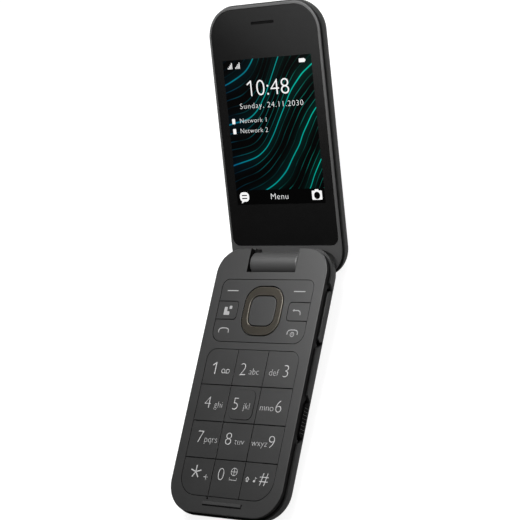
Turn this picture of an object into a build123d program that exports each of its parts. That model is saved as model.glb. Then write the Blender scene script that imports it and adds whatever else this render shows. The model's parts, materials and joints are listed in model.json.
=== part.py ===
"""A folding mobile phone, drawn open. Two moulded halves turn on one hinge.

The lower half carries the keys, board and battery. The lid carries both displays, the earpiece and the
camera. Each half is drawn lying level with its inner face up and the hinge axis along X through the
origin: the lower half runs towards -Y, the lid towards +Y. opened() turns the lid to its open stop, and
settled() sets the open phone down as it lies on a table, on the lower half's free end and on the lid's
knuckle end. Sizes are in millimetres.
"""
from build123d import *
from math import asin, atan2, cos, degrees, hypot, radians, sin, sqrt
import os

# Overall sizes of the closed phone
WIDTH = 55.0
LENGTH = 108.0
BASE_THICK = 10.4
LID_THICK = 8.2
CLOSED_GAP = 0.3
FREE_CORNER = 12.5
HINGE_CORNER = 11.5
BASE_EDGE = 7.0
LID_EDGE = 6.2

# Hinge line and how far the lid opens
HINGE_INSET = 6.0
HINGE_DEPTH = 4.55
OPEN_ANGLE = 150.9

# Walls, seams and general fits
FACE_INSET = 0.5
FACE_EDGE = 0.5
FACE_SOFTEN = 0.3
BAND_INSET = 0.85
BAND_THICK = 0.35
BASE_SEAM = 2.8
LID_SEAM = 1.8
COVER_WALL = 1.1
SKIRT_WALL = 1.0
FIT = 0.12
RUNNING_FIT = 0.05
SEAM_GAP = 0.1

# Barrel, the notch it turns in, and the swept pocket that clears the ears
BARREL_RADIUS = 4.55
BARREL_HALF = 11.65
BARREL_SOFTEN = 0.9
NOTCH_HALF = 11.9
NOTCH_DEPTH = 4.85
NECK_HALF = 4.0
POCKET_RADIUS = 7.0
POCKET_FLAT_INSET = 12.5
POCKET_END_INSET = 3.3

# Keypad layout, as distances from the hinge axis and the sides
KEYPAD_MARGIN = 5.25
NAV_TOP = 8.0
NAV_LENGTH = 25.6
NAV_TOP_CORNER = 3.0
NAV_LOW_CORNER = 4.5
PAD_TOP = 36.7
PAD_TOP_CORNER = 4.0
PAD_LOW_CORNER = 8.0
PAD_FOOT = 7.14
ROWS = 4
COLUMNS = 3
ROW_GAP = 0.24
COLUMN_GAP = 0.2
KEY_GAP = 0.18
KEY_THICK = 1.1
KEY_SOFTEN = 0.14
KEY_TRAVEL = 0.25

# Navigation cluster: a corner plate with two boxed keys, a ring, and a key in the ring
RING_MARGIN = 3.3
BOX_KEY_LENGTH = 7.3
BOX_KEY_CORNER = 1.3
RING_WIDTH = 18.2
RING_LENGTH = 19.6
RING_CORNER = 6.6
RING_BULGE = 0.45
RING_GROOVE = 0.45
RING_PROUD = 0.15
RING_EDGE = 0.15
RING_HOLE = 0.35
OK_WIDTH = 12.4
OK_LENGTH = 12.2
OK_CORNER = 3.4
OK_BULGE = 0.3
NAV_KEY_THICK = 0.75
NAV_TILT_ACROSS = 0.4
NAV_TILT_ALONG = 0.7
RING_TILT = 1.0
PAD_STRIP = 1.9
RUBBER_THICK = 0.25

# The raised tile on the middle number key: how far in from the key's sides and ends, corner and height
FIVE_TILE_SIDE = 1.65
FIVE_TILE_END = 1.25
FIVE_TILE_CORNER = 2.6
FIVE_TILE_HEIGHT = 0.24

# Layers under the keys
MAT_THICK = 0.6
DOME_HEIGHT = 0.3
DOME_RADIUS = 2.2
DOME_TOP_RADIUS = 1.1
BOARD_THICK = 0.8
FLOOR_GAP = 0.1
FLOOR_THICK = 0.8

# Battery and what shares the lower half with it
BATTERY_SIDE = 6.0
BATTERY_HEAD = 2.1
BATTERY_HEEL = 4.75
BATTERY_THICK = 4.3
BATTERY_CORNER = 0.7
BATTERY_PLAY = 0.35
BAY_WALL = 0.8
COVER_END = 9.0
SPEAKER_WIDTH = 15.0
SPEAKER_LENGTH = 11.0
SPEAKER_X = 10.0
SPEAKER_FROM_END = 16.0
SPEAKER_CORNER = 1.0
SPEAKER_SLOTS = 3
SPEAKER_SLOT_PITCH = 2.6
SPEAKER_SLOT_LENGTH = 11.0
SPEAKER_SLOT_WIDTH = 1.1
MOTOR_RADIUS = 2.0
MOTOR_LENGTH = 10.0
MOTOR_X = -12.0
MOTOR_FROM_END = 10.0
MOTOR_SHAFT_RADIUS = 0.5
MOTOR_SHAFT = 5.0
MOTOR_WEIGHT_RADIUS = 1.8
MOTOR_WEIGHT_GAP = 1.0
JACK_ROOM = 1.7
JACK_WIDTH = 6.2
JACK_HEIGHT = 5.0
JACK_INSET = 1.9
JACK_NOSE = 2.2
JACK_BODY = 13.4
JACK_NOSE_RADIUS = 2.4
JACK_BORE_RADIUS = 1.8
JACK_BORE_LENGTH = 14.6
USB_FROM_END = 21.5
USB_DEEP = 5.6
USB_WIDE = 7.5
USB_HIGH = 2.6
USB_WALL = 0.3
USB_TONGUE_WIDE = 3.8
USB_TONGUE_HIGH = 0.6
USB_SET_BACK = 0.6
CHARGE_PITCH = 6.0
CHARGE_PAD = 2.4
CHARGE_PAD_HIGH = 1.2
CHARGE_DEPTH = 4.6
BATTERY_CONTACTS = 3
BATTERY_CONTACT_PITCH = 3.0
BATTERY_CONTACT_WIDE = 1.4
BATTERY_CONTACT_X = -4.0
SIM_WIDE = 12.3
SIM_ROOM = 0.6
SIM_HIGH = 1.4
SIM_SLOT = 0.7
SIM_X = 8.0
MIC_X = -7.4
MIC_FROM_END = 6.4
MIC_RADIUS = 0.45
MIC_CAN = 3.0
MIC_HIGH = 0.95
NAIL_NOTCH_WIDE = 10.0
NAIL_NOTCH_DEEP = 0.7
NAIL_NOTCH_IN = 1.75
NAIL_NOTCH_UP = 0.9

# Keys in the right-hand side
SIDE_KEY_DEPTH = 4.1
SIDE_KEY_WIDTH = 2.4
SIDE_KEY_GAP = 0.5
SIDE_KEY_CAP = 1.5
SIDE_NOTCH_SLANT = 2.4
SIDE_SWITCH_DEEP = 1.8
SIDE_SWITCH_LONG = 3.6
SIDE_SWITCH_PLAY = 0.15
SIDE_ROOM = 1.0
VOLUME_Y = -21.3
VOLUME_LENGTH = 20.4
VOLUME_TILT = 1.4
CALL_FOR_HELP_Y = -62.1
CALL_FOR_HELP_LENGTH = 13.4
SIDE_RIBS = 8
SIDE_RIB_DEPTH = 0.25

# The rubber rib below the number keys
BUMPER_WIDE = 18.5
BUMPER_LONG = 1.2
BUMPER_HIGH = 0.24
BUMPER_DEEP = 0.5
BUMPER_FROM_END = 4.6

# Window, rim and displays of the lid
RIM = 1.05
WINDOW_LOW = 6.55
WINDOW_LOW_CORNER = 3.4
WINDOW_THICK = 0.9
WINDOW_RECESS = 0.15
WINDOW_SHELF = 1.75
EARPIECE_FROM_END = 7.6
EARPIECE_SLOT = 11.2
EARPIECE_SLOT_HIGH = 1.1
DISPLAY_HEAD = 16.85
DISPLAY_HEEL = 9.05
DISPLAY_THICK = 2.2
POLARISER_THICK = 0.2
VIEW_SIDE = 2.6
VIEW_HEAD = 2.85
VIEW_HEEL = 7.55
BRACKET_THICK = 0.3
BRACKET_WEB = 8.0
BRACKET_CORNER = 3.0
LID_BOARD_SIDE = 4.2
LID_BOARD_LONG = 58.0
LID_BOARD_THICK = 0.6
LID_BOARD_FROM_END = 11.0
OUTER_WINDOW_SIDE = 9.5
OUTER_WINDOW_LONG = 48.0
OUTER_WINDOW_CORNER = 5.0
OUTER_WINDOW_THICK = 0.8
OUTER_WINDOW_FROM_END = 8.0
OUTER_DISPLAY_SIDE = 1.8
OUTER_DISPLAY_HEAD = 8.0
OUTER_DISPLAY_HEEL = 2.0
OUTER_DISPLAY_THICK = 1.6
CAMERA_X = -7.0
CAMERA_FROM_END = 11.8
CAMERA_SIDE = 6.6
LENS_RADIUS = 2.2
LENS_THICK = 0.6
LENS_EDGE = 0.15
FLASH_X = 6.0
FLASH_RADIUS = 1.5
RECEIVER_WIDE = 12.4
RECEIVER_LONG = 6.4
RECEIVER_THICK = 2.2
RECEIVER_CORNER = 1.6
MAGNET_WIDE = 6.0
MAGNET_LONG = 3.0
MAGNET_THICK = 1.4
MAGNET_FROM_SIDE = 9.5
MAGNET_FROM_END = 15.5
KNUCKLE_END = 6.2
KNUCKLE_DEPTH = 4.2
KNUCKLE_INSET = 1.65

# Hinge hardware
CARTRIDGE_RADIUS = 2.75
CARTRIDGE_FROM_SIDE = 5.1
CAM_RADIUS = 2.3
CAM_FLATS = 3.6
CAM_LENGTH = 4.6
CAM_STUB_RADIUS = 1.0
CAM_STUB_LENGTH = 3.0
BUSH_RADIUS = 2.3
BUSH_BORE = 1.5
BUSH_IN_EAR = 4.0
BUSH_IN_BARREL = 5.0
FLEX_RADIUS = 1.2
FLEX_THICK = 0.2
FLEX_SLIT = 0.8
FLEX_START = 3.0
FLEX_END = 20.0

# Fasteners
SCREW_HEAD_RADIUS = 1.3
SCREW_HEAD = 0.7
SCREW_RADIUS = 0.7
SCREW_REACH = 2.2
SLOT_WIDE = 0.3
BOSS_RADIUS = 1.7
MID_SCREW_FROM_SIDE = 3.5
END_SCREW_FROM_SIDE = 8.5
END_SCREW_FROM_END = 5.3
LOW_SCREW_FROM_SIDE = 5.9
LOW_SCREW_Y = 11.6
HIGH_SCREW_FROM_SIDE = 8.9
HIGH_SCREW_FROM_END = 8.8

# Heights and places that follow from the sizes above; the hinge axis is at zero
HALF_WIDTH = WIDTH / 2
FREE_END = LENGTH - HINGE_INSET
BASE_FACE = HINGE_DEPTH
BASE_BACK = HINGE_DEPTH - BASE_THICK
LID_FACE = -(HINGE_DEPTH + CLOSED_GAP)
LID_BACK = LID_FACE - LID_THICK
KEYPAD_WIDTH = WIDTH - 2 * KEYPAD_MARGIN
COLUMN_PITCH = KEYPAD_WIDTH / COLUMNS
ROW_PITCH = (FREE_END - PAD_FOOT - PAD_TOP + ROW_GAP) / ROWS
BOX_KEY_INNER = RING_WIDTH / 2 + RING_MARGIN
POCKET_FLAT_HALF = HALF_WIDTH - POCKET_FLAT_INSET
POCKET_END_HALF = HALF_WIDTH - POCKET_END_INSET
CARTRIDGE_LENGTH = HALF_WIDTH - NOTCH_HALF - CARTRIDGE_FROM_SIDE
SEAT_GAP = KEY_TRAVEL + RUNNING_FIT
PLATE_PAD_GAP = radians(NAV_TILT_ACROSS) * (RING_WIDTH / 2 + RING_GROOVE + PAD_STRIP) + RUNNING_FIT
RING_PAD_GAP = radians(RING_TILT) * (OK_LENGTH / 2 + RING_HOLE + PAD_STRIP) + 2 * RUNNING_FIT
NAV_MAT_DROP = radians(NAV_TILT_ALONG) * NAV_LENGTH / 2 + 2 * RUNNING_FIT
SIDE_SWITCH_GAP = radians(VOLUME_TILT) * VOLUME_LENGTH / 2 + SIDE_SWITCH_PLAY
MAT_DEPTH = KEY_THICK + SEAT_GAP
BOARD_TOP = MAT_DEPTH + MAT_THICK + DOME_HEIGHT
BOARD_LOW = BOARD_TOP + BOARD_THICK
FLOOR_TOP = BOARD_LOW + FLOOR_GAP
FLOOR_LOW = FLOOR_TOP + FLOOR_THICK
BATTERY_TOP = FLOOR_LOW + SEAM_GAP
BATTERY_LOW = BATTERY_TOP + BATTERY_THICK
INNER_BACK = BASE_THICK - COVER_WALL
SKIRT_INSET = BAND_INSET + BAND_THICK + RUNNING_FIT
FLOOR_INSET = COVER_WALL + FIT
NAV_LOW = -(NAV_TOP + NAV_LENGTH)
NAV_MIDDLE = -(NAV_TOP + NAV_LENGTH / 2)
PAD_LOW = PAD_FOOT - FREE_END
MID_SCREW_Y = (NAV_LOW - PAD_TOP) / 2
JACK_MOUTH = HALF_WIDTH - JACK_INSET
JACK_SHOULDER = JACK_MOUTH - JACK_NOSE
JACK_BACK = JACK_SHOULDER - JACK_BODY
JACK_Y = -(COVER_END + JACK_ROOM + JACK_WIDTH / 2)
USB_Y = USB_FROM_END - FREE_END
SPEAKER_Y = SPEAKER_FROM_END - FREE_END
MOTOR_Y = MOTOR_FROM_END - FREE_END
MIC_Y = MIC_FROM_END - FREE_END
BUMPER_Y = BUMPER_FROM_END - FREE_END
BATTERY_WIDTH = WIDTH - 2 * BATTERY_SIDE
BATTERY_START = JACK_Y - JACK_WIDTH / 2 - BATTERY_HEAD
BATTERY_FINISH = USB_Y + USB_WIDE / 2 + BATTERY_HEEL
BATTERY_LENGTH = BATTERY_START - BATTERY_FINISH
BATTERY_Y = (BATTERY_START + BATTERY_FINISH) / 2
SIM_START = -COVER_END - SIM_ROOM
SIM_FINISH = BATTERY_START + BATTERY_PLAY + BAY_WALL + 2 * FIT
SIM_LONG = SIM_START - SIM_FINISH
SIM_Y = (SIM_START + SIM_FINISH) / 2
WINDOW_HIGH = FREE_END - FACE_INSET - RIM
WINDOW_HALF = HALF_WIDTH - FACE_INSET - RIM
WINDOW_DEPTH = WINDOW_RECESS + WINDOW_THICK
DISPLAY_WIDE = 2 * (WINDOW_HALF - WINDOW_SHELF)
DISPLAY_LONG = WINDOW_HIGH - WINDOW_LOW - DISPLAY_HEAD - DISPLAY_HEEL
DISPLAY_Y = WINDOW_LOW + DISPLAY_HEEL + DISPLAY_LONG / 2
VIEW_WIDE = DISPLAY_WIDE - 2 * VIEW_SIDE
VIEW_LONG = DISPLAY_LONG - VIEW_HEAD - VIEW_HEEL
VIEW_Y = DISPLAY_Y + (VIEW_HEEL - VIEW_HEAD) / 2
EARPIECE_Y = FREE_END - EARPIECE_FROM_END
CAMERA_Y = FREE_END - CAMERA_FROM_END
MAGNET_X = HALF_WIDTH - MAGNET_FROM_SIDE
MAGNET_Y = FREE_END - MAGNET_FROM_END
LID_BOARD_WIDE = DISPLAY_WIDE - 2 * LID_BOARD_SIDE
LID_BOARD_Y = FREE_END - LID_BOARD_FROM_END - LID_BOARD_LONG / 2
OUTER_WINDOW_WIDE = WIDTH - 2 * OUTER_WINDOW_SIDE
OUTER_WINDOW_Y = FREE_END - OUTER_WINDOW_FROM_END - OUTER_WINDOW_LONG / 2
OUTER_DISPLAY_WIDE = OUTER_WINDOW_WIDE - 2 * OUTER_DISPLAY_SIDE
OUTER_DISPLAY_LONG = OUTER_WINDOW_LONG - OUTER_DISPLAY_HEAD - OUTER_DISPLAY_HEEL
OUTER_DISPLAY_Y = OUTER_WINDOW_Y + (OUTER_DISPLAY_HEEL - OUTER_DISPLAY_HEAD) / 2
DISPLAY_TOP = WINDOW_DEPTH + RUNNING_FIT
DISPLAY_LOW = DISPLAY_TOP + DISPLAY_THICK
LID_BOARD_TOP = DISPLAY_LOW + BRACKET_THICK + 2 * RUNNING_FIT
LID_BOARD_LOW = LID_BOARD_TOP + LID_BOARD_THICK
LID_INNER_BACK = LID_THICK - COVER_WALL
OUTER_WINDOW_TOP = LID_THICK - WINDOW_RECESS - OUTER_WINDOW_THICK
JACK_DEPTH = BOARD_LOW + JACK_HEIGHT / 2
USB_DEPTH = BOARD_LOW + USB_HIGH / 2
FAR = 2 * LENGTH


def down(depth):
    """Height of a plane that lies so far below the lower half's face."""
    return BASE_FACE - depth


def lid_down(depth):
    """Height of a plane that lies so far below the lid's inner face."""
    return LID_FACE - depth


def box_at(wide, long, high, x, y, z_top):
    """A box centred on x and y, with its top at z_top."""
    return Pos(x, y, z_top - high / 2) * Box(wide, long, high)


def disc_at(radius, high, x, y, z_top):
    """An upright cylinder centred on x and y, with its top at z_top."""
    return Pos(x, y, z_top - high / 2) * Cylinder(radius, high)


def plate(shape, z_top, z_low):
    """A flat outline given thickness between two heights."""
    return extrude(Pos(0, 0, z_low) * shape, amount=z_top - z_low)


def half_outline(inset, side):
    """Outline of one half from above; side is -1 for the lower half and +1 for the lid."""
    shape = Pos(0, side * (LENGTH / 2 - HINGE_INSET)) * Rectangle(WIDTH - 2 * inset, LENGTH - 2 * inset)
    ends = shape.vertices().sort_by(Axis.Y)
    low, high = (FREE_CORNER, HINGE_CORNER) if side < 0 else (HINGE_CORNER, FREE_CORNER)
    shape = fillet(ends[:2], low - inset)
    return fillet(shape.vertices().sort_by(Axis.Y)[-2:], high - inset)


def tub(inset, side, z_top, z_low, edge):
    """A plate of the half's outline with its lower edge rounded, the form of a moulded back."""
    solid = plate(half_outline(inset, side), z_top, z_low)
    return fillet(solid.edges().group_by(Axis.Z)[0], edge)


def panel(wide, y_low, y_high, low_corner, high_corner, grow=0.0):
    """A rounded panel with one corner radius at each end, grown all round if asked."""
    shape = Pos(0, (y_low + y_high) / 2) * Rectangle(wide + 2 * grow, y_high - y_low + 2 * grow)
    shape = fillet(shape.vertices().sort_by(Axis.Y)[:2], low_corner + grow)
    return fillet(shape.vertices().sort_by(Axis.Y)[-2:], high_corner + grow)


def cushion(wide, long, corner, bulge, grow=0.0):
    """A rounded square whose sides bow outwards, the outline of the ring and the key in it."""
    w, h = wide / 2 - bulge + grow, long / 2 - bulge + grow
    sides = [
        ThreePointArc((-w, -h), (0, -h - bulge), (w, -h)),
        ThreePointArc((w, -h), (w + bulge, 0), (w, h)),
        ThreePointArc((w, h), (0, h + bulge), (-w, h)),
        ThreePointArc((-w, h), (-w - bulge, 0), (-w, -h)),
    ]
    face = make_face(sides)
    return Pos(0, NAV_MIDDLE) * fillet(face.vertices(), corner + grow)


def swept(clearance, inner_half):
    """What the ears' ends may fill as they turn about the hinge axis, less a clearance."""
    high, low = POCKET_RADIUS - clearance, HINGE_DEPTH + CLOSED_GAP - clearance
    run, drop = POCKET_END_HALF - POCKET_FLAT_HALF, high - low
    bow = (run**2 + drop**2) / (2 * drop)
    middle = high - (bow - sqrt(bow**2 - (run / 2) ** 2))
    start, end, far = POCKET_FLAT_HALF, POCKET_END_HALF, WIDTH
    profile = make_face([
        Line((inner_half, 0), (inner_half, high)),
        Line((inner_half, high), (start, high)),
        ThreePointArc((start, high), (start + run / 2, middle), (end, low)),
        Line((end, low), (far, low)),
        Line((far, low), (far, 0)),
        Line((far, 0), (inner_half, 0)),
    ])
    one = revolve(profile, Axis.X, 360)
    return one + mirror(one, Plane.YZ)


def round_nose(solid):
    """Rounds what lies past the hinge axis, so that the lid's pockets can turn round it."""
    past = Pos(0, FAR / 2, 0) * Box(FAR, FAR, FAR)
    return (solid - past) + (solid & past & swept(CLOSED_GAP, 0))


def notch():
    """The gap between the ears, open to the front, the back and the hinge end."""
    return Pos(0, FAR / 2 - NOTCH_DEPTH, 0) * Box(2 * NOTCH_HALF, FAR, FAR)


def along_x(radius, x_low, x_high, y=0.0, z=0.0):
    """A cylinder that lies along X."""
    return Pos((x_low + x_high) / 2, y, z) * Rot(0, 90, 0) * Cylinder(radius, x_high - x_low)


def nav_panel(grow=0.0):
    return panel(KEYPAD_WIDTH, NAV_LOW, -NAV_TOP, NAV_LOW_CORNER, NAV_TOP_CORNER, grow)


def pad_panel(grow=0.0):
    return panel(KEYPAD_WIDTH, PAD_LOW, -PAD_TOP, PAD_LOW_CORNER, PAD_TOP_CORNER, grow)


def screw(x, y, z_seat):
    """A small pan-head screw driven upwards, its head under z_seat."""
    head = disc_at(SCREW_HEAD_RADIUS, SCREW_HEAD, x, y, z_seat)
    shank = disc_at(SCREW_RADIUS, SCREW_REACH, x, y, z_seat + SCREW_REACH)
    slot = box_at(2 * SCREW_HEAD_RADIUS, SLOT_WIDE, SCREW_HEAD / 2, x, y, z_seat - SCREW_HEAD / 2)
    return head + shank - slot


def base_screw_places():
    middle, end = HALF_WIDTH - MID_SCREW_FROM_SIDE, HALF_WIDTH - END_SCREW_FROM_SIDE
    end_y = END_SCREW_FROM_END - FREE_END
    return [(-middle, MID_SCREW_Y), (middle, MID_SCREW_Y), (-end, end_y), (end, end_y)]


def lid_screw_places():
    low, high = HALF_WIDTH - LOW_SCREW_FROM_SIDE, HALF_WIDTH - HIGH_SCREW_FROM_SIDE
    high_y = FREE_END - HIGH_SCREW_FROM_END
    return [(-low, LOW_SCREW_Y), (low, LOW_SCREW_Y), (-high, high_y), (high, high_y)]


def cartridge_bore():
    return along_x(CARTRIDGE_RADIUS + RUNNING_FIT, -NOTCH_HALF - CARTRIDGE_LENGTH - FIT, -NOTCH_HALF)


def bush_bore():
    wide = along_x(BUSH_RADIUS + RUNNING_FIT, NOTCH_HALF, NOTCH_HALF + BUSH_IN_EAR + FIT)
    return wide + along_x(BUSH_BORE, NOTCH_HALF, FLEX_END + SEAT_GAP)


def microphone_hole(depth):
    return disc_at(MIC_RADIUS, depth, MIC_X, MIC_Y, BASE_FACE)


def keypad_housing():
    """The front moulding: a face with two key openings, a skirt inside the band, and the filled ears."""
    face = plate(half_outline(FACE_INSET, -1), BASE_FACE, down(FACE_EDGE))
    face = fillet(face.edges().group_by(Axis.Z)[-1], FACE_SOFTEN)
    core = plate(half_outline(SKIRT_INSET, -1), down(FACE_EDGE), down(BASE_SEAM))
    hollow = plate(half_outline(SKIRT_INSET + SKIRT_WALL, -1), down(MAT_DEPTH), down(BASE_SEAM))
    hollow -= Pos(0, FAR / 2 - COVER_END, 0) * Box(FAR, FAR, FAR)
    body = round_nose(face + core - hollow) - notch()
    body -= plate(nav_panel(KEY_GAP), BASE_FACE, down(MAT_DEPTH))
    body -= plate(pad_panel(KEY_GAP), BASE_FACE, down(MAT_DEPTH))
    for x, y in base_screw_places():
        body += disc_at(BOSS_RADIUS, BOARD_LOW - MAT_DEPTH, x, y, down(MAT_DEPTH))
        body -= disc_at(SCREW_RADIUS + RUNNING_FIT, SCREW_REACH, x, y, down(FLOOR_LOW - SCREW_REACH - FIT))
    fit = 2 * RUNNING_FIT
    body -= box_at(BUMPER_WIDE + fit, BUMPER_LONG + fit, BUMPER_DEEP, 0, BUMPER_Y, BASE_FACE)
    return body - cartridge_bore() - bush_bore() - microphone_hole(MAT_DEPTH)


def base_band():
    """The black ring between the face and the back, a step in from both."""
    outer = plate(half_outline(BAND_INSET, -1), down(FACE_EDGE), down(BASE_SEAM))
    inner = plate(half_outline(BAND_INSET + BAND_THICK, -1), down(FACE_EDGE), down(BASE_SEAM))
    return round_nose(outer - inner) - notch()


def side_notch(y, length):
    """The tapered gap in the cover's upper edge that a side key stands in, seen along X."""
    low = SIDE_KEY_DEPTH + SIDE_KEY_WIDTH / 2 + SIDE_KEY_GAP
    half = length / 2 + SIDE_KEY_GAP
    outline = Polyline(
        (y - half, down(low)), (y + half, down(low)), (y + half + SIDE_NOTCH_SLANT, down(BASE_SEAM)),
        (y - half - SIDE_NOTCH_SLANT, down(BASE_SEAM)), close=True
    )
    deep = SIDE_KEY_CAP + SIDE_SWITCH_GAP
    upright = Plane(origin=(HALF_WIDTH - deep, 0, 0), x_dir=(0, 1, 0), z_dir=(1, 0, 0))
    return extrude(upright * make_face(outline), amount=2 * deep)


def back_shell(z_top):
    """The rounded outside of the lower half, solid."""
    return tub(0, -1, z_top, BASE_BACK, BASE_EDGE)


def bay_frame(thick_out):
    """The upright walls round the battery, in the floor's underside."""
    wide = BATTERY_WIDTH + 2 * (BATTERY_PLAY + thick_out)
    long = BATTERY_LENGTH + 2 * (BATTERY_PLAY + thick_out)
    return box_at(wide, long, BATTERY_LOW - FLOOR_LOW, 0, BATTERY_Y, down(FLOOR_LOW))


def socket_clearance():
    """Room in the floor for the two sockets that hang from the board."""
    jack_long = HALF_WIDTH - JACK_BACK + FIT
    jack = box_at(jack_long, JACK_WIDTH + 2 * FIT, FAR, -HALF_WIDTH + jack_long / 2, JACK_Y, FAR / 2)
    usb_long = USB_DEEP + USB_SET_BACK + FIT
    usb = box_at(usb_long, USB_WIDE + 2 * FIT, FAR, -HALF_WIDTH + usb_long / 2, USB_Y, FAR / 2)
    return jack + usb


def side_key_clearance():
    """Room in the floor for the side keys' switches."""
    wide = SIDE_KEY_CAP + SIDE_SWITCH_GAP + SIDE_SWITCH_DEEP + FIT
    x, room = HALF_WIDTH - wide / 2, 2 * SIDE_ROOM
    volume = box_at(wide, VOLUME_LENGTH + room, FAR, x, VOLUME_Y, FAR / 2)
    return volume + box_at(wide, CALL_FOR_HELP_LENGTH + room, FAR, x, CALL_FOR_HELP_Y, FAR / 2)


def rear_case():
    """The inner back: filled ears at the hinge end, a floor under the board, and the battery's walls."""
    ears = back_shell(down(BASE_SEAM)) & (Pos(0, FAR / 2 - COVER_END, 0) * Box(FAR, FAR, FAR))
    floor = plate(half_outline(FLOOR_INSET, -1), down(FLOOR_TOP), down(FLOOR_LOW))
    floor += plate(half_outline(FLOOR_INSET, -1), down(BASE_SEAM), down(FLOOR_TOP))
    floor -= plate(half_outline(SKIRT_INSET + SKIRT_WALL, -1), down(BASE_SEAM), down(FLOOR_TOP))
    floor += bay_frame(BAY_WALL) - bay_frame(0)
    floor -= socket_clearance() + side_key_clearance()
    floor -= box_at(MIC_CAN + 2 * FIT, MIC_CAN + 2 * FIT, FAR, MIC_X, MIC_Y, FAR / 2)
    for x, y in base_screw_places():
        floor -= disc_at(BOSS_RADIUS + FIT, FLOOR_TOP - BASE_SEAM, x, y, down(BASE_SEAM))
        floor -= disc_at(SCREW_RADIUS + RUNNING_FIT, FAR, x, y, FAR / 2)
    for number in range(BATTERY_CONTACTS):
        floor -= battery_contact(number, FIT)
    ears -= side_notch(VOLUME_Y, VOLUME_LENGTH)
    return ears + floor - notch() - cartridge_bore() - bush_bore()


def battery_contact(number, grow=0.0):
    """One sprung blade that stands in the bay's wall and meets the battery's end."""
    x = BATTERY_CONTACT_X + number * BATTERY_CONTACT_PITCH
    long = BAY_WALL + BATTERY_PLAY - RUNNING_FIT
    y = BATTERY_Y + BATTERY_LENGTH / 2 + RUNNING_FIT + long / 2
    return box_at(BATTERY_CONTACT_WIDE + 2 * grow, long, BATTERY_THICK / 2, x, y, down(FLOOR_LOW))


def battery_contacts():
    return [battery_contact(n) for n in range(BATTERY_CONTACTS)]


def speaker_slots():
    """The sound slots in the cover, in line across the loudspeaker."""
    first = SPEAKER_Y - SPEAKER_SLOT_PITCH * (SPEAKER_SLOTS - 1) / 2
    slot = SlotOverall(SPEAKER_SLOT_LENGTH, SPEAKER_SLOT_WIDTH)
    z = BASE_BACK - COVER_WALL
    return [
        extrude(Pos(SPEAKER_X, first + n * SPEAKER_SLOT_PITCH, z) * slot, amount=3 * COVER_WALL)
        for n in range(SPEAKER_SLOTS)
    ]


def battery_cover():
    """The clip-on back, with its side notches, sound slots, socket holes and fingernail notch."""
    inside = tub(COVER_WALL, -1, down(BASE_SEAM), BASE_BACK + COVER_WALL, BASE_EDGE - COVER_WALL)
    shell = back_shell(down(BASE_SEAM)) - inside
    shell -= Pos(0, FAR / 2 - COVER_END - SEAM_GAP, 0) * Box(FAR, FAR, FAR)
    shell -= side_notch(VOLUME_Y, VOLUME_LENGTH) + side_notch(CALL_FOR_HELP_Y, CALL_FOR_HELP_LENGTH)
    for slot in speaker_slots():
        shell -= slot
    shell -= along_x(JACK_NOSE_RADIUS + FIT, -FAR, -JACK_BACK, JACK_Y, down(JACK_DEPTH))
    usb_high = USB_HIGH + 2 * FIT
    usb_top = down(USB_DEPTH - usb_high / 2)
    shell -= box_at(2 * USB_DEEP, USB_WIDE + 2 * FIT, usb_high, -HALF_WIDTH, USB_Y, usb_top)
    pad_high = CHARGE_PAD_HIGH + 2 * FIT
    for x in charge_places():
        shell -= box_at(CHARGE_PAD + 2 * FIT, 4 * COVER_WALL, pad_high, x, -FREE_END,
                        down(CHARGE_DEPTH - pad_high / 2))
    nail = Rot(0, 90, 0) * Cylinder(NAIL_NOTCH_DEEP, NAIL_NOTCH_WIDE)
    return shell - Pos(0, NAIL_NOTCH_IN - FREE_END, BASE_BACK + NAIL_NOTCH_UP) * nail


def battery():
    body = box_at(BATTERY_WIDTH, BATTERY_LENGTH, BATTERY_THICK, 0, BATTERY_Y, down(BATTERY_TOP))
    return fillet(body.edges().filter_by(Axis.Z), BATTERY_CORNER)


def board_outline():
    return half_outline(SKIRT_INSET + SKIRT_WALL + FIT, -1)


def main_board():
    """The circuit board, cut away for the ears and for the screw bosses."""
    body = plate(board_outline(), down(BOARD_TOP), down(BOARD_LOW))
    body -= Pos(0, FAR / 2 - COVER_END - FIT, 0) * Box(FAR, FAR, FAR)
    for x, y in base_screw_places():
        body -= disc_at(BOSS_RADIUS + FIT, FAR, x, y, FAR / 2)
    return body - microphone_hole(BOARD_LOW)


def keypad_mat():
    """The rubber sheet under the keys, lower under the navigation cluster, which needs room to tilt."""
    low = down(MAT_DEPTH + MAT_THICK)
    body = plate(board_outline(), down(MAT_DEPTH), low)
    body -= Pos(0, FAR / 2 - COVER_END - FIT, 0) * Box(FAR, FAR, FAR)
    body -= plate(nav_panel(KEY_GAP), down(MAT_DEPTH), down(MAT_DEPTH + NAV_MAT_DROP))
    for x, y in base_screw_places():
        body -= disc_at(BOSS_RADIUS + FIT, FAR, x, y, FAR / 2)
    return body - microphone_hole(BOARD_LOW)


def number_key_places():
    """Middle of each number key, row by row from the hinge end."""
    return [
        ((column - 1) * COLUMN_PITCH, -(PAD_TOP + (row + 0.5) * ROW_PITCH - ROW_GAP / 2))
        for row in range(ROWS) for column in range(COLUMNS)
    ]


def corner_places():
    """Where the corner plate is pressed: over the two soft keys, the call key and the end key."""
    x = (KEYPAD_WIDTH / 2 + BOX_KEY_INNER) / 2
    return [(a * x, NAV_MIDDLE + b * NAV_LENGTH / 3) for a in (-1, 1) for b in (-1, 1)]


def box_key_places():
    x = (KEYPAD_WIDTH / 2 + BOX_KEY_INNER) / 2
    return [(-x, NAV_MIDDLE), (x, NAV_MIDDLE)]


def ring_places():
    x = (RING_WIDTH + OK_WIDTH) / 4
    y = (RING_LENGTH + OK_LENGTH) / 4
    return [(0, NAV_MIDDLE), (x, NAV_MIDDLE), (-x, NAV_MIDDLE), (0, NAV_MIDDLE + y), (0, NAV_MIDDLE - y)]


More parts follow.
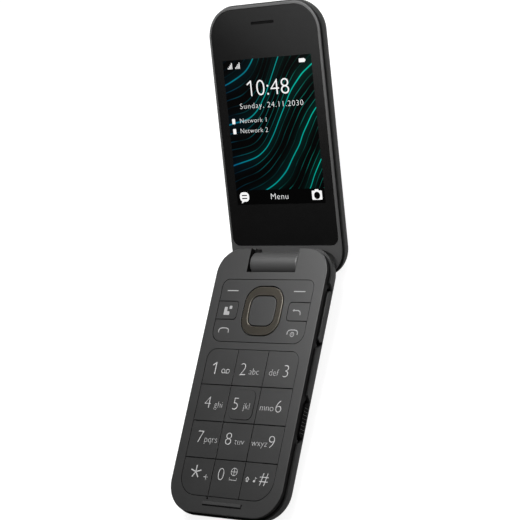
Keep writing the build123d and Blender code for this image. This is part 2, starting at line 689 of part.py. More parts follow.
def key_domes():
    """One snap dome on the board under each place that is pressed."""
    places = number_key_places() + corner_places() + box_key_places() + ring_places()
    dome = Cone(DOME_RADIUS, DOME_TOP_RADIUS, DOME_HEIGHT)
    return [Pos(x, y, down(BOARD_TOP - DOME_HEIGHT / 2)) * dome for x, y in places]


def number_key(number):
    """One of twelve keys cut from the number pad's outline, with fine gaps between them."""
    x, y = number_key_places()[number]
    side = number % COLUMNS - 1
    wide = COLUMN_PITCH - COLUMN_GAP / (2 if side else 1)
    cell = Pos(x + side * COLUMN_GAP / 4, y) * Rectangle(wide, ROW_PITCH - ROW_GAP)
    key = plate(pad_panel() & cell, BASE_FACE, down(KEY_THICK))
    key = fillet(key.edges().group_by(Axis.Z)[-1], KEY_SOFTEN)
    if number == ROWS:
        long = ROW_PITCH - ROW_GAP - 2 * FIVE_TILE_END
        tile = Pos(x, y) * RectangleRounded(wide - 2 * FIVE_TILE_SIDE, long, FIVE_TILE_CORNER)
        raised = plate(tile, BASE_FACE + FIVE_TILE_HEIGHT, down(KEY_SOFTEN))
        key += chamfer(raised.edges().group_by(Axis.Z)[-1], FIVE_TILE_HEIGHT / 2)
    return key


def box_key_outline(side, grow=0.0):
    """One boxed key: square against the panel's edge, rounded on its inner corners."""
    wide = KEYPAD_WIDTH / 2 - BOX_KEY_INNER
    shape = Rectangle(wide + 2 * grow, BOX_KEY_LENGTH + 2 * grow)
    shape = Pos(side * (BOX_KEY_INNER + wide / 2), NAV_MIDDLE) * shape
    inner = shape.vertices().sort_by(Axis.X)
    inner = inner[:2] if side > 0 else inner[-2:]
    return fillet(inner, BOX_KEY_CORNER + grow)


def box_key(side):
    key = plate(box_key_outline(side), BASE_FACE, down(KEY_THICK))
    return fillet(key.edges().group_by(Axis.Z)[-1], KEY_SOFTEN)


def ring_outline(grow=0.0):
    return cushion(RING_WIDTH, RING_LENGTH, RING_CORNER, RING_BULGE, grow)


def ok_outline(grow=0.0):
    return cushion(OK_WIDTH, OK_LENGTH, OK_CORNER, OK_BULGE, grow)


def nav_plate():
    """The corner plate: both soft keys, the call key and the end key in one piece round the ring."""
    outline = nav_panel() - ring_outline(RING_GROOVE)
    outline -= box_key_outline(-1, KEY_GAP)
    outline -= box_key_outline(1, KEY_GAP)
    body = plate(outline, BASE_FACE, down(NAV_KEY_THICK))
    return fillet(body.edges().group_by(Axis.Z)[-1], KEY_SOFTEN)


def nav_plate_pad():
    """The rubber frame under the corner plate, on which it rocks."""
    outline = ring_outline(RING_GROOVE + PAD_STRIP) - ring_outline(RING_GROOVE)
    top = NAV_KEY_THICK + PLATE_PAD_GAP
    return plate(outline, down(top), down(top + RUBBER_THICK))


def nav_ring():
    """The four-way ring, rounded on both top edges."""
    body = plate(ring_outline() - ok_outline(RING_HOLE), BASE_FACE + RING_PROUD, down(NAV_KEY_THICK))
    return fillet(body.edges().group_by(Axis.Z)[-1], RING_EDGE)


def nav_ring_pad():
    """The rubber frame under the ring, on which it rocks."""
    inner = ok_outline(RING_HOLE)
    outline = ok_outline(RING_HOLE + PAD_STRIP) - inner
    top = NAV_KEY_THICK + RING_PAD_GAP
    return plate(outline, down(top), down(top + RUBBER_THICK))


def ok_key():
    """The key inside the ring."""
    key = plate(ok_outline(), BASE_FACE, down(KEY_THICK))
    return fillet(key.edges().group_by(Axis.Z)[-1], 2 * KEY_SOFTEN)


def side_key_cap(y, length):
    """A side key: a round-ended bar that fills the width and stands just proud of the curved cover."""
    seat = (HALF_WIDTH - SIDE_KEY_CAP, y, down(SIDE_KEY_DEPTH))
    upright = Plane(origin=seat, x_dir=(0, 1, 0), z_dir=(1, 0, 0))
    key = extrude(upright * SlotOverall(length, SIDE_KEY_WIDTH), amount=SIDE_KEY_CAP)
    return fillet(key.edges().group_by(Axis.X)[-1], 2 * KEY_SOFTEN)


def volume_key():
    return side_key_cap(VOLUME_Y, VOLUME_LENGTH)


def help_key():
    """The side key, with a row of cross grooves for the finger."""
    key = side_key_cap(CALL_FOR_HELP_Y, CALL_FOR_HELP_LENGTH)
    pitch = (CALL_FOR_HELP_LENGTH - SIDE_KEY_WIDTH) / SIDE_RIBS
    first = CALL_FOR_HELP_Y - pitch * (SIDE_RIBS - 1) / 2
    groove = Cylinder(SIDE_RIB_DEPTH, 2 * SIDE_KEY_WIDTH)
    for n in range(SIDE_RIBS):
        key -= Pos(HALF_WIDTH, first + n * pitch, down(SIDE_KEY_DEPTH)) * groove
    return key


def side_switches():
    """Three switches under the board's edge: two for the volume key's ends and one for the side key."""
    x = HALF_WIDTH - SIDE_KEY_CAP - SIDE_SWITCH_GAP - SIDE_SWITCH_DEEP / 2
    reach = VOLUME_LENGTH / 2 - SIDE_SWITCH_LONG
    places = [VOLUME_Y - reach, VOLUME_Y + reach, CALL_FOR_HELP_Y]
    high = SIDE_KEY_DEPTH + SIDE_KEY_WIDTH / 2 - BOARD_LOW
    return [box_at(SIDE_SWITCH_DEEP, SIDE_SWITCH_LONG, high, x, y, down(BOARD_LOW)) for y in places]


def loudspeaker():
    high = INNER_BACK - FLOOR_LOW - SEAM_GAP
    body = box_at(SPEAKER_WIDTH, SPEAKER_LENGTH, high, SPEAKER_X, SPEAKER_Y, down(FLOOR_LOW + SEAM_GAP / 2))
    return fillet(body.edges().filter_by(Axis.Z), SPEAKER_CORNER)


def vibration_motor():
    """A drum motor held against the floor, with a half-round weight on its shaft."""
    z = down(FLOOR_LOW + RUNNING_FIT + MOTOR_RADIUS)
    drum = along_x(MOTOR_RADIUS, MOTOR_X, MOTOR_X + MOTOR_LENGTH, MOTOR_Y, z)
    shaft = along_x(MOTOR_SHAFT_RADIUS, MOTOR_X - MOTOR_SHAFT, MOTOR_X, MOTOR_Y, z)
    weight = along_x(MOTOR_WEIGHT_RADIUS, MOTOR_X - MOTOR_SHAFT, MOTOR_X - MOTOR_WEIGHT_GAP, MOTOR_Y, z)
    below = Pos(MOTOR_X, MOTOR_Y, z - MOTOR_SHAFT_RADIUS - FAR / 2) * Box(FAR, FAR, FAR)
    return drum + shaft + (weight - below)


def headset_jack():
    """The headset socket: a block under the board with a round nose that fills the hole in the cover."""
    z = down(JACK_DEPTH)
    long = JACK_SHOULDER - JACK_BACK
    body = box_at(long, JACK_WIDTH, JACK_HEIGHT, -(JACK_SHOULDER + JACK_BACK) / 2, JACK_Y, down(BOARD_LOW))
    body += along_x(JACK_NOSE_RADIUS, -JACK_MOUTH, -JACK_BACK - long / 2, JACK_Y, z)
    return body - along_x(JACK_BORE_RADIUS, -JACK_MOUTH, -JACK_MOUTH + JACK_BORE_LENGTH, JACK_Y, z)


def usb_socket():
    """The data and charging socket: a folded shell with a tongue inside."""
    outer_x = -HALF_WIDTH + USB_SET_BACK
    x = outer_x + USB_DEEP / 2
    shell = box_at(USB_DEEP, USB_WIDE, USB_HIGH, x, USB_Y, down(BOARD_LOW))
    shell = fillet(shell.edges().filter_by(Axis.X), USB_WALL * 2)
    inside = USB_HIGH - 2 * USB_WALL
    shell -= box_at(USB_DEEP - USB_WALL, USB_WIDE - 2 * USB_WALL, inside, x - USB_WALL / 2, USB_Y,
                    down(BOARD_LOW + USB_WALL))
    tongue_top = down(USB_DEPTH - USB_TONGUE_HIGH / 2)
    return shell + box_at(USB_DEEP - 2 * USB_WALL, USB_TONGUE_WIDE, USB_TONGUE_HIGH, x, USB_Y, tongue_top)


def charge_places():
    return [-CHARGE_PITCH / 2, CHARGE_PITCH / 2]


def charging_contacts():
    """Two plated pads in the free end, for a desk charger."""
    top = down(CHARGE_DEPTH - CHARGE_PAD_HIGH / 2)
    long = 2 * COVER_WALL
    y = -FREE_END + FIT * 2 + long / 2
    return [box_at(CHARGE_PAD, long, CHARGE_PAD_HIGH, x, y, top) for x in charge_places()]


def sim_holder():
    """The card tray's frame on the floor beside the headset socket, with its card slot."""
    body = box_at(SIM_WIDE, SIM_LONG, SIM_HIGH, SIM_X, SIM_Y, down(FLOOR_LOW))
    slot_top = down(FLOOR_LOW + (SIM_HIGH - SIM_SLOT) / 2)
    slot = box_at(SIM_WIDE - 2 * SIM_HIGH, SIM_LONG, SIM_SLOT, SIM_X, SIM_Y - SIM_HIGH, slot_top)
    return body - slot


def microphone():
    """The microphone's can on the board's underside, below its hole in the face."""
    return box_at(MIC_CAN, MIC_CAN, MIC_HIGH, MIC_X, MIC_Y, down(BOARD_LOW))


def bumper_rib():
    """A rubber rib that keeps the closed lid off the face."""
    rib = box_at(BUMPER_WIDE, BUMPER_LONG, BUMPER_DEEP + BUMPER_HIGH, 0, BUMPER_Y, BASE_FACE + BUMPER_HIGH)
    return fillet(rib.edges().group_by(Axis.Z)[-1], BUMPER_HIGH / 2)


def base_screws():
    return [screw(x, y, down(FLOOR_LOW)) for x, y in base_screw_places()]


def hinge_cartridge():
    """The sprung cam cartridge in the left ear, bored for the cam's stub."""
    body = along_x(CARTRIDGE_RADIUS, -NOTCH_HALF - CARTRIDGE_LENGTH, -NOTCH_HALF)
    return body - along_x(CAM_STUB_RADIUS + RUNNING_FIT, -NOTCH_HALF - CAM_STUB_LENGTH - FIT, -NOTCH_HALF)


def cam_head(grow=0.0):
    """The cam's head, a round bar with two flats, so that it turns with the barrel."""
    head = along_x(CAM_RADIUS + grow, -BARREL_HALF, -BARREL_HALF + CAM_LENGTH + grow)
    return head & Box(FAR, FAR, CAM_FLATS + 2 * grow)


def hinge_cam():
    stub = along_x(CAM_STUB_RADIUS, -NOTCH_HALF - CAM_STUB_LENGTH, -BARREL_HALF)
    return cam_head() + stub


def hinge_bush():
    """The hollow bush that the lid's right side turns on, open for the flexible circuit."""
    tube = along_x(BUSH_RADIUS, BARREL_HALF - BUSH_IN_BARREL, NOTCH_HALF + BUSH_IN_EAR)
    return tube - along_x(BUSH_BORE, 0, FAR)


def hinge_flex():
    """The flexible circuit, rolled up where it passes through the bush."""
    roll = along_x(FLEX_RADIUS, FLEX_START, FLEX_END) - along_x(FLEX_RADIUS - FLEX_THICK, 0, FAR)
    return roll - Pos(0, 0, FLEX_RADIUS) * Box(FAR, FLEX_SLIT, 2 * FLEX_RADIUS)


def barrel():
    """The lid's knuckle between the ears, with sockets for the cam and the bush."""
    body = along_x(BARREL_RADIUS, -BARREL_HALF, BARREL_HALF)
    body = fillet(body.edges(), BARREL_SOFTEN)
    neck_low = LID_FACE - WINDOW_DEPTH
    body += box_at(2 * BARREL_HALF, 2 * NECK_HALF, -CAM_RADIUS - neck_low, 0, 0, -CAM_RADIUS)
    return body


def barrel_sockets():
    bush = along_x(BUSH_RADIUS + RUNNING_FIT, BARREL_HALF - BUSH_IN_BARREL - RUNNING_FIT, BARREL_HALF)
    return bush + cam_head(RUNNING_FIT) + along_x(BUSH_BORE, FLEX_START - FIT, BARREL_HALF)


def window_outline(grow=0.0):
    corner = FREE_CORNER - FACE_INSET - RIM
    return panel(2 * WINDOW_HALF, WINDOW_LOW, WINDOW_HIGH, WINDOW_LOW_CORNER, corner, grow)


def lid_frame():
    """The lid's inner moulding: rim, window seat, pockets for the ears, and the barrel."""
    face = plate(half_outline(FACE_INSET, 1), LID_FACE, lid_down(FACE_EDGE))
    face = fillet(face.edges().group_by(Axis.Z)[-1], FACE_SOFTEN)
    core = plate(half_outline(SKIRT_INSET, 1), lid_down(FACE_EDGE), lid_down(LID_SEAM))
    block = plate(half_outline(KNUCKLE_INSET, 1), lid_down(LID_SEAM), lid_down(KNUCKLE_DEPTH))
    block -= Pos(0, FAR / 2 + KNUCKLE_END, 0) * Box(FAR, FAR, FAR)
    body = face + core + block - swept(0, BARREL_HALF)
    body -= plate(window_outline(RUNNING_FIT), LID_FACE, lid_down(WINDOW_DEPTH))
    fit = 2 * RUNNING_FIT
    body -= box_at(DISPLAY_WIDE + fit, DISPLAY_LONG + fit, FAR, 0, DISPLAY_Y, 0)
    body -= box_at(RECEIVER_WIDE + fit, RECEIVER_LONG + fit, FAR, 0, EARPIECE_Y, 0)
    for x, y in lid_screw_places():
        body -= disc_at(SCREW_HEAD_RADIUS + FIT, SCREW_HEAD, x, y, lid_down(WINDOW_DEPTH))
        body -= disc_at(SCREW_RADIUS + RUNNING_FIT, FAR, x, y, 0)
    return body + barrel() - barrel_sockets()


def lid_band():
    """The black line between the lid's frame and its cover."""
    outer = plate(half_outline(BAND_INSET, 1), lid_down(FACE_EDGE), lid_down(LID_SEAM))
    return outer - plate(half_outline(BAND_INSET + BAND_THICK, 1), lid_down(FACE_EDGE), lid_down(LID_SEAM))


def lid_cover():
    """The outer shell, with a seat for the small window, lens holes and screw bosses."""
    shell = tub(0, 1, lid_down(LID_SEAM), LID_BACK, LID_EDGE)
    shell -= tub(COVER_WALL, 1, lid_down(LID_SEAM), LID_BACK + COVER_WALL, LID_EDGE - COVER_WALL)
    window = RectangleRounded(OUTER_WINDOW_WIDE + 2 * FIT, OUTER_WINDOW_LONG + 2 * FIT, OUTER_WINDOW_CORNER)
    shell -= plate(Pos(0, OUTER_WINDOW_Y) * window, lid_down(OUTER_WINDOW_TOP), LID_BACK)
    fit, deep = 2 * FIT, 2 * COVER_WALL
    top = LID_BACK + deep
    shell -= box_at(OUTER_DISPLAY_WIDE + fit, OUTER_DISPLAY_LONG + fit, deep, 0, OUTER_DISPLAY_Y, top)
    shell -= disc_at(LENS_RADIUS + FIT, deep, CAMERA_X, CAMERA_Y, top)
    shell -= disc_at(FLASH_RADIUS + FIT, deep, FLASH_X, CAMERA_Y, top)
    high = LID_INNER_BACK - LID_SEAM - RUNNING_FIT
    for x, y in lid_screw_places():
        shell += disc_at(BOSS_RADIUS, high, x, y, lid_down(LID_SEAM + RUNNING_FIT))
        shell -= disc_at(SCREW_RADIUS + RUNNING_FIT, SCREW_REACH + FIT, x, y, lid_down(LID_SEAM))
    return shell


def main_window():
    """The black-edged pane over the main display, with the earpiece slot."""
    pane = plate(window_outline(), lid_down(WINDOW_RECESS), lid_down(WINDOW_DEPTH))
    pane = chamfer(pane.edges().group_by(Axis.Z)[-1], WINDOW_RECESS)
    slot = Pos(0, EARPIECE_Y) * SlotOverall(EARPIECE_SLOT, EARPIECE_SLOT_HIGH)
    return pane - plate(slot, LID_FACE, lid_down(WINDOW_DEPTH))


def earpiece_mesh():
    """The grille strip low in the earpiece slot."""
    fit = 2 * RUNNING_FIT
    slot = Pos(0, EARPIECE_Y) * SlotOverall(EARPIECE_SLOT - fit, EARPIECE_SLOT_HIGH - fit)
    return plate(slot, lid_down(WINDOW_DEPTH / 2), lid_down(WINDOW_DEPTH))


def main_display():
    """The display's glass and backlight, with the polariser over the part that lights up."""
    thick = DISPLAY_THICK - POLARISER_THICK
    block = box_at(DISPLAY_WIDE, DISPLAY_LONG, thick, 0, DISPLAY_Y, lid_down(DISPLAY_TOP + POLARISER_THICK))
    wide, long = VIEW_WIDE + VIEW_SIDE, VIEW_LONG + VIEW_SIDE
    return block + box_at(wide, long, POLARISER_THICK, 0, VIEW_Y, lid_down(DISPLAY_TOP))


def display_bracket():
    """The folded steel tray behind the main display, pierced to save weight."""
    top = lid_down(DISPLAY_LOW + RUNNING_FIT)
    tray = box_at(DISPLAY_WIDE, DISPLAY_LONG, BRACKET_THICK, 0, DISPLAY_Y, top)
    wide, long = (DISPLAY_WIDE - 3 * BRACKET_WEB) / 2, (DISPLAY_LONG - 3 * BRACKET_WEB) / 2
    hole = RectangleRounded(wide, long, BRACKET_CORNER)
    for side in (-1, 1):
        for end in (-1, 1):
            at = Pos(side * (wide + BRACKET_WEB) / 2, DISPLAY_Y + end * (long + BRACKET_WEB) / 2)
            tray -= plate(at * hole, top, top - BRACKET_THICK)
    return tray


def earpiece():
    body = box_at(RECEIVER_WIDE, RECEIVER_LONG, RECEIVER_THICK, 0, EARPIECE_Y, lid_down(WINDOW_DEPTH))
    return fillet(body.edges().filter_by(Axis.Z), RECEIVER_CORNER)


def lid_board():
    return box_at(LID_BOARD_WIDE, LID_BOARD_LONG, LID_BOARD_THICK, 0, LID_BOARD_Y, lid_down(LID_BOARD_TOP))


def outer_window():
    """The small pane in the lid's back, holed for the lens and the light."""
    pane = RectangleRounded(OUTER_WINDOW_WIDE, OUTER_WINDOW_LONG, OUTER_WINDOW_CORNER)
    low = lid_down(OUTER_WINDOW_TOP + OUTER_WINDOW_THICK)
    body = plate(Pos(0, OUTER_WINDOW_Y) * pane, lid_down(OUTER_WINDOW_TOP), low)
    body = chamfer(body.edges().group_by(Axis.Z)[0], WINDOW_RECESS)
    body -= disc_at(LENS_RADIUS + FIT, FAR, CAMERA_X, CAMERA_Y, 0)
    return body - disc_at(FLASH_RADIUS + FIT, FAR, FLASH_X, CAMERA_Y, 0)


def outer_display():
    top = lid_down(OUTER_WINDOW_TOP - RUNNING_FIT - OUTER_DISPLAY_THICK)
    return box_at(OUTER_DISPLAY_WIDE, OUTER_DISPLAY_LONG, OUTER_DISPLAY_THICK, 0, OUTER_DISPLAY_Y, top)


def camera_module():
    """The camera's block on the lid's board, with its barrel up to the lens cover."""
    seat = lid_down(LID_BOARD_LOW)
    lens_top = LID_BACK + LENS_THICK + RUNNING_FIT
    high = (seat - lens_top) / 2
    block = box_at(CAMERA_SIDE, CAMERA_SIDE, high, CAMERA_X, CAMERA_Y, seat)
    return block + disc_at(LENS_RADIUS, high, CAMERA_X, CAMERA_Y, seat - high)


def camera_lens():
    lens = disc_at(LENS_RADIUS, LENS_THICK, CAMERA_X, CAMERA_Y, LID_BACK + LENS_THICK)
    return chamfer(lens.edges().group_by(Axis.Z)[0], LENS_EDGE)


def flash_lens():
    """The light's clear cover, stood on its chip on the lid's board."""
    high = LID_THICK - LID_BOARD_LOW
    return disc_at(FLASH_RADIUS, high, FLASH_X, CAMERA_Y, lid_down(LID_BOARD_LOW))


def lid_magnet():
    """The magnet that tells the main board that the lid is shut."""
    return box_at(MAGNET_WIDE, MAGNET_LONG, MAGNET_THICK, MAGNET_X, MAGNET_Y, lid_down(LID_SEAM))


def lid_screws():
    """Four screws driven down through the frame into the cover's bosses."""
    screws = []
    for x, y in lid_screw_places():
        head = disc_at(SCREW_HEAD_RADIUS, SCREW_HEAD, x, y, lid_down(WINDOW_DEPTH))
        slot = box_at(2 * SCREW_HEAD_RADIUS, SLOT_WIDE, SCREW_HEAD / 2, x, y, lid_down(WINDOW_DEPTH))
        shank = disc_at(SCREW_RADIUS, SCREW_REACH, x, y, lid_down(WINDOW_DEPTH + SCREW_HEAD))
        screws.append(head + shank - slot)
    return screws


NUMBER_KEY_NAMES = ["1", "2", "3", "4", "5", "6", "7", "8", "9", "star", "0", "hash"]

BASE_PIECES = {
    "keypad_housing": keypad_housing, "base_band": base_band, "rear_case": rear_case,
    "battery_cover": battery_cover, "battery": battery, "main_board": main_board, "keypad_mat": keypad_mat,
    "key_domes": key_domes, "loudspeaker": loudspeaker, "vibration_motor": vibration_motor,
    "headset_jack": headset_jack, "usb_socket": usb_socket, "charging_contacts": charging_contacts,
    "battery_contacts": battery_contacts, "sim_holder": sim_holder, "microphone": microphone,
    "bumper_rib": bumper_rib, "base_screws": base_screws, "hinge_cartridge": hinge_cartridge,
    "side_switches": side_switches,
}

KEY_PIECES = {
    "nav_plate": nav_plate, "nav_plate_pad": nav_plate_pad, "nav_ring": nav_ring,
    "nav_ring_pad": nav_ring_pad, "ok_key": ok_key, "volume_key": volume_key, "side_key": help_key,
}

LID_PIECES = {
    "lid_frame": lid_frame, "lid_band": lid_band, "lid_cover": lid_cover, "main_window": main_window,
    "main_display": main_display, "display_bracket": display_bracket, "earpiece": earpiece,
    "earpiece_mesh": earpiece_mesh, "outer_window": outer_window, "outer_display": outer_display,
    "camera_module": camera_module, "camera_lens": camera_lens, "flash_lens": flash_lens,
    "lid_board": lid_board, "lid_magnet": lid_magnet, "lid_screws": lid_screws, "hinge_cam": hinge_cam,
    "hinge_bush": hinge_bush, "hinge_flex": hinge_flex,
}


def opened():
    """Turns the level lid up about the hinge axis to its open stop."""
    return Rot(180 - OPEN_ANGLE, 0, 0)


def tilt():
    """The angle that brings the lowest points of both halves to one level."""
    lift = radians(180 - OPEN_ANGLE)
    heel_y, heel_z = LID_EDGE - HINGE_INSET, LID_BACK + LID_EDGE
    y = heel_y * cos(lift) - heel_z * sin(lift)
    z = heel_y * sin(lift) + heel_z * cos(lift)
    run, rise = y + FREE_END - BASE_EDGE, z - BASE_BACK - BASE_EDGE
    return -(atan2(rise, run) - asin((LID_EDGE - BASE_EDGE) / hypot(run, rise)))


def settled(base_solid, lid_solid):
    """Tilts the open phone onto its two resting lines, and centres it over the origin."""
    turn = Rot(degrees(tilt()), 0, 0)
    low = (turn * base_solid).bounding_box()
    high = (turn * opened() * lid_solid).bounding_box()
    return Pos(0, -(low.min.Y + high.max.Y) / 2, -min(low.min.Z, high.min.Z)) * turn


def build():
    """Every piece in its place, by name."""
    pieces = {name: (make(), False) for name, make in (BASE_PIECES | KEY_PIECES).items()}
    for number, name in enumerate(NUMBER_KEY_NAMES):
        pieces["key_" + name] = (number_key(number), False)
    pieces["function_key"] = (box_key(-1), False)
    pieces["back_key"] = (box_key(1), False)
    pieces |= {name: (make(), True) for name, make in LID_PIECES.items()}
    place = settled(pieces["battery_cover"][0], pieces["lid_cover"][0])
    done = {}
    for name, (solid, on_lid) in pieces.items():
        where = place * opened() if on_lid else place
        solids = solid if isinstance(solid, list) else [solid]
        done[name] = Compound([where * s for one in solids for s in one.solids()], label=name)
    return done, place


os.makedirs("parts", exist_ok=True)
PIECES, PLACE = build()
for piece_name, piece in PIECES.items():
    export_step(piece, f"parts/{piece_name}.step")
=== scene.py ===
import json
import math

import bmesh
import bpy
from mathutils import Matrix, Vector


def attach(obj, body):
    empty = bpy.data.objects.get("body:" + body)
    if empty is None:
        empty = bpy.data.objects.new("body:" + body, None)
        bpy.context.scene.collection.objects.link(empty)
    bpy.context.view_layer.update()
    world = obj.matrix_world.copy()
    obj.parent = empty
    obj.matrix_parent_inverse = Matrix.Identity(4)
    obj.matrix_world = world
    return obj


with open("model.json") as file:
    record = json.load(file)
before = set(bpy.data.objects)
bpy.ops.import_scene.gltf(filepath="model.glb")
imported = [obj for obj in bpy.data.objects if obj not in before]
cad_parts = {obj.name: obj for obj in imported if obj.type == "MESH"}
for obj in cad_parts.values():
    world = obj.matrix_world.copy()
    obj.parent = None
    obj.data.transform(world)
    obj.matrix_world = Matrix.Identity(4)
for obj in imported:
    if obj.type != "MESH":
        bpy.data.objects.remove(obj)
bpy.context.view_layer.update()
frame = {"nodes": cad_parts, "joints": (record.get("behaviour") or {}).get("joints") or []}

# The phone's two halves meet on the hinge line. Each half has its own level frame on that line: X
# goes across, Y runs from the keypad's free end towards the lid's, and Z points out of the face.
MM = 0.001
JOINTS = {joint["name"]: joint for joint in frame["joints"]}
FACE_OUT = -Vector(JOINTS["ok_key_press"]["axis"])
LID_LIFT = math.radians(180 - JOINTS["lid_hinge"]["range_deg"][1])
LOWER = Matrix.Translation(JOINTS["lid_hinge"]["pos_m"]) @ Matrix.Rotation(
    math.atan2(-FACE_OUT.y, FACE_OUT.z), 4, "X")
LID = LOWER @ Matrix.Rotation(LID_LIFT, 4, "X")


def reach(node, half):
    """Lowest and highest corner of a CAD piece in its half's level frame, in millimetres."""
    back = half.inverted()
    corners = [(back @ vertex.co) / MM for vertex in frame["nodes"][node].data.vertices]
    return [Vector(pick(corner[axis] for corner in corners) for axis in range(3)) for pick in (min, max)]


# The camera, a long lens above and to the right of the keypad's free end, as the phone was
# photographed. Its place and its axes are given in the lower half's frame.
CAMERA_AT = Vector((424.52, -182.83, 532.43))
CAMERA_RIGHT = Vector((0.7918, 0.2013, -0.5766))
CAMERA_UP = Vector((-0.0011, 0.9446, 0.3283))
CAMERA_LENS = 124.17
CAMERA_FILM = 36.0
CAMERA_NEAR = 10.0
camera = bpy.data.objects.new("camera", bpy.data.cameras.new("camera"))
camera.data.lens = CAMERA_LENS
camera.data.sensor_width = CAMERA_FILM
camera.data.clip_start = CAMERA_NEAR * MM
bpy.context.scene.collection.objects.link(camera)
bpy.context.scene.camera = camera
axes = Matrix((CAMERA_RIGHT, CAMERA_UP, CAMERA_RIGHT.cross(CAMERA_UP))).transposed()
camera.matrix_world = LOWER @ Matrix.Translation(CAMERA_AT * MM) @ axes.to_4x4()


class Flow:
    """A value or colour inside a material, which Python's operators carry on through its nodes."""

    def __init__(self, tree, socket=None):
        self.tree = tree
        self.socket = socket

    def node(self, kind, settings, values, out=0):
        """Adds one node: its settings are set first, then the values or links of its sockets."""
        node = self.tree.nodes.new("ShaderNode" + kind)
        for name, value in settings.items():
            setattr(node, name, value)
        for name, value in values.items():
            if isinstance(value, Flow):
                self.tree.links.new(value.socket, node.inputs[name])
            else:
                node.inputs[name].default_value = value
        return Flow(self.tree, node.outputs[out]) if node.outputs else None

    def maths(self, operation, first, second=0.0):
        return self.node("Math", {"operation": operation}, {0: first, 1: second})

    def __add__(self, other):
        return self.maths("ADD", self, other)

    def __sub__(self, other):
        return self.maths("SUBTRACT", self, other)

    def __rsub__(self, other):
        return self.maths("SUBTRACT", other, self)

    def __mul__(self, other):
        return self.maths("MULTIPLY", self, other)

    def __truediv__(self, other):
        return self.maths("DIVIDE", self, other)

    def __pow__(self, other):
        return self.maths("POWER", self, other)

    def __gt__(self, other):
        return self.maths("GREATER_THAN", self, other)

    def __lt__(self, other):
        return self.maths("LESS_THAN", self, other)

    def __mod__(self, other):
        return self.maths("FLOORED_MODULO", self, other)

    def __abs__(self):
        return self.maths("ABSOLUTE", self)

    __radd__ = __add__
    __rmul__ = __mul__

    def sine(self):
        return self.maths("SINE", self)

    def ripple(self):
        """A sine lifted to run from 0 to 1."""
        return self.sine() * 0.5 + 0.5

    def between(self, low, high):
        """A number that goes from low to high as this value goes from 0 to 1."""
        return self * (high - low) + low

    def clamped(self):
        return self.node("Clamp", {}, {0: self})

    def along(self, way):
        """How far this place or direction reaches along another."""
        return self.node("VectorMath", {"operation": "DOT_PRODUCT"}, {0: self, 1: way}, out=1)

    def facing(self, way):
        """How squarely the surface faces this way, from -1 to 1."""
        return self.node("TexCoord", {}, {}, out="Normal").along(way)

    def noise(self, grain, detail=2.0):
        """Noise from 0 to 1 whose grains are this many millimetres across."""
        return self.node("TexNoise", {}, {"Vector": self, "Scale": 1 / (grain * MM), "Detail": detail})

    def blend(self, low, high):
        """A colour that goes from low to high as this value goes from 0 to 1."""
        return self.node("Mix", {"data_type": "RGBA"}, {0: self, 6: shade(low), 7: shade(high)}, out=2)

    def mottle(self, colour, share):
        """A colour that is darker by this share where this value is 0, and lighter by it at 1."""
        colours = {6: shade(colour, 1 - share), 7: shade(colour, 1 + share)}
        return self.node("Mix", {"data_type": "RGBA"}, {0: self, **colours}, out=2)

    def bump(self, depth):
        """The normals of a relief that is this many millimetres deep where this value is 1."""
        return self.node("Bump", {}, {"Height": self, "Distance": depth * MM})


def shade(colour, level=1.0):
    """A colour as a socket takes it, from three parts or one grey, and darker or lighter if asked."""
    if isinstance(colour, Flow):
        return colour
    parts = colour if isinstance(colour, tuple) else (colour,) * 3
    return (*(part * level for part in parts), 1.0)


def surface(name, paint, mask=None, inner=None):
    """A material whose paint turns a place on the piece into the shader's values. Where a mask is
    given, the inner paint shows inside it."""
    material = bpy.data.materials.new(name)
    material.use_nodes = True
    material.node_tree.nodes.clear()
    place = Flow(material.node_tree).node("TexCoord", {}, {}, out="Object")
    shader = place.node("BsdfPrincipled", {}, paint(place))
    if mask:
        within = place.node("BsdfPrincipled", {}, inner(place))
        shader = place.node("MixShader", {}, {0: mask(place), 1: shader, 2: within})
    shader.node("OutputMaterial", {}, {"Surface": shader})
    return material


# The floor is a wide matt board in a pale studio. It is nearly white to the camera, dimmer where
# the phone mirrors it, and it keeps the phone's shadow.
FLOOR_SIDE = 6.0
FLOOR_DROP = 0.05
FLOOR_GRAIN = 40.0
FLOOR_TONE = 0.30
FLOOR_MOTTLE = 0.01
FLOOR_LIFT = 0.88
FLOOR_MIRROR = 0.2


def floor_board(place):
    looks = [place.node("LightPath", {}, {}, out=ray)
             for ray in ("Is Camera Ray", "Is Transmission Ray", "Is Glossy Ray")]
    seen = (looks[0] + looks[1] + looks[2] * FLOOR_MIRROR).clamped()
    return {"Base Color": place.noise(FLOOR_GRAIN).mottle(FLOOR_TONE, FLOOR_MOTTLE), "Roughness": 0.9,
            "Emission Color": seen.blend(0.0, FLOOR_LIFT), "Emission Strength": 1.0}


bpy.ops.mesh.primitive_plane_add(size=FLOOR_SIDE, location=(0, 0, -FLOOR_DROP * MM))
floor = bpy.context.active_object
floor.name = "floor"
floor.data.materials.append(surface("floor_board", floor_board))

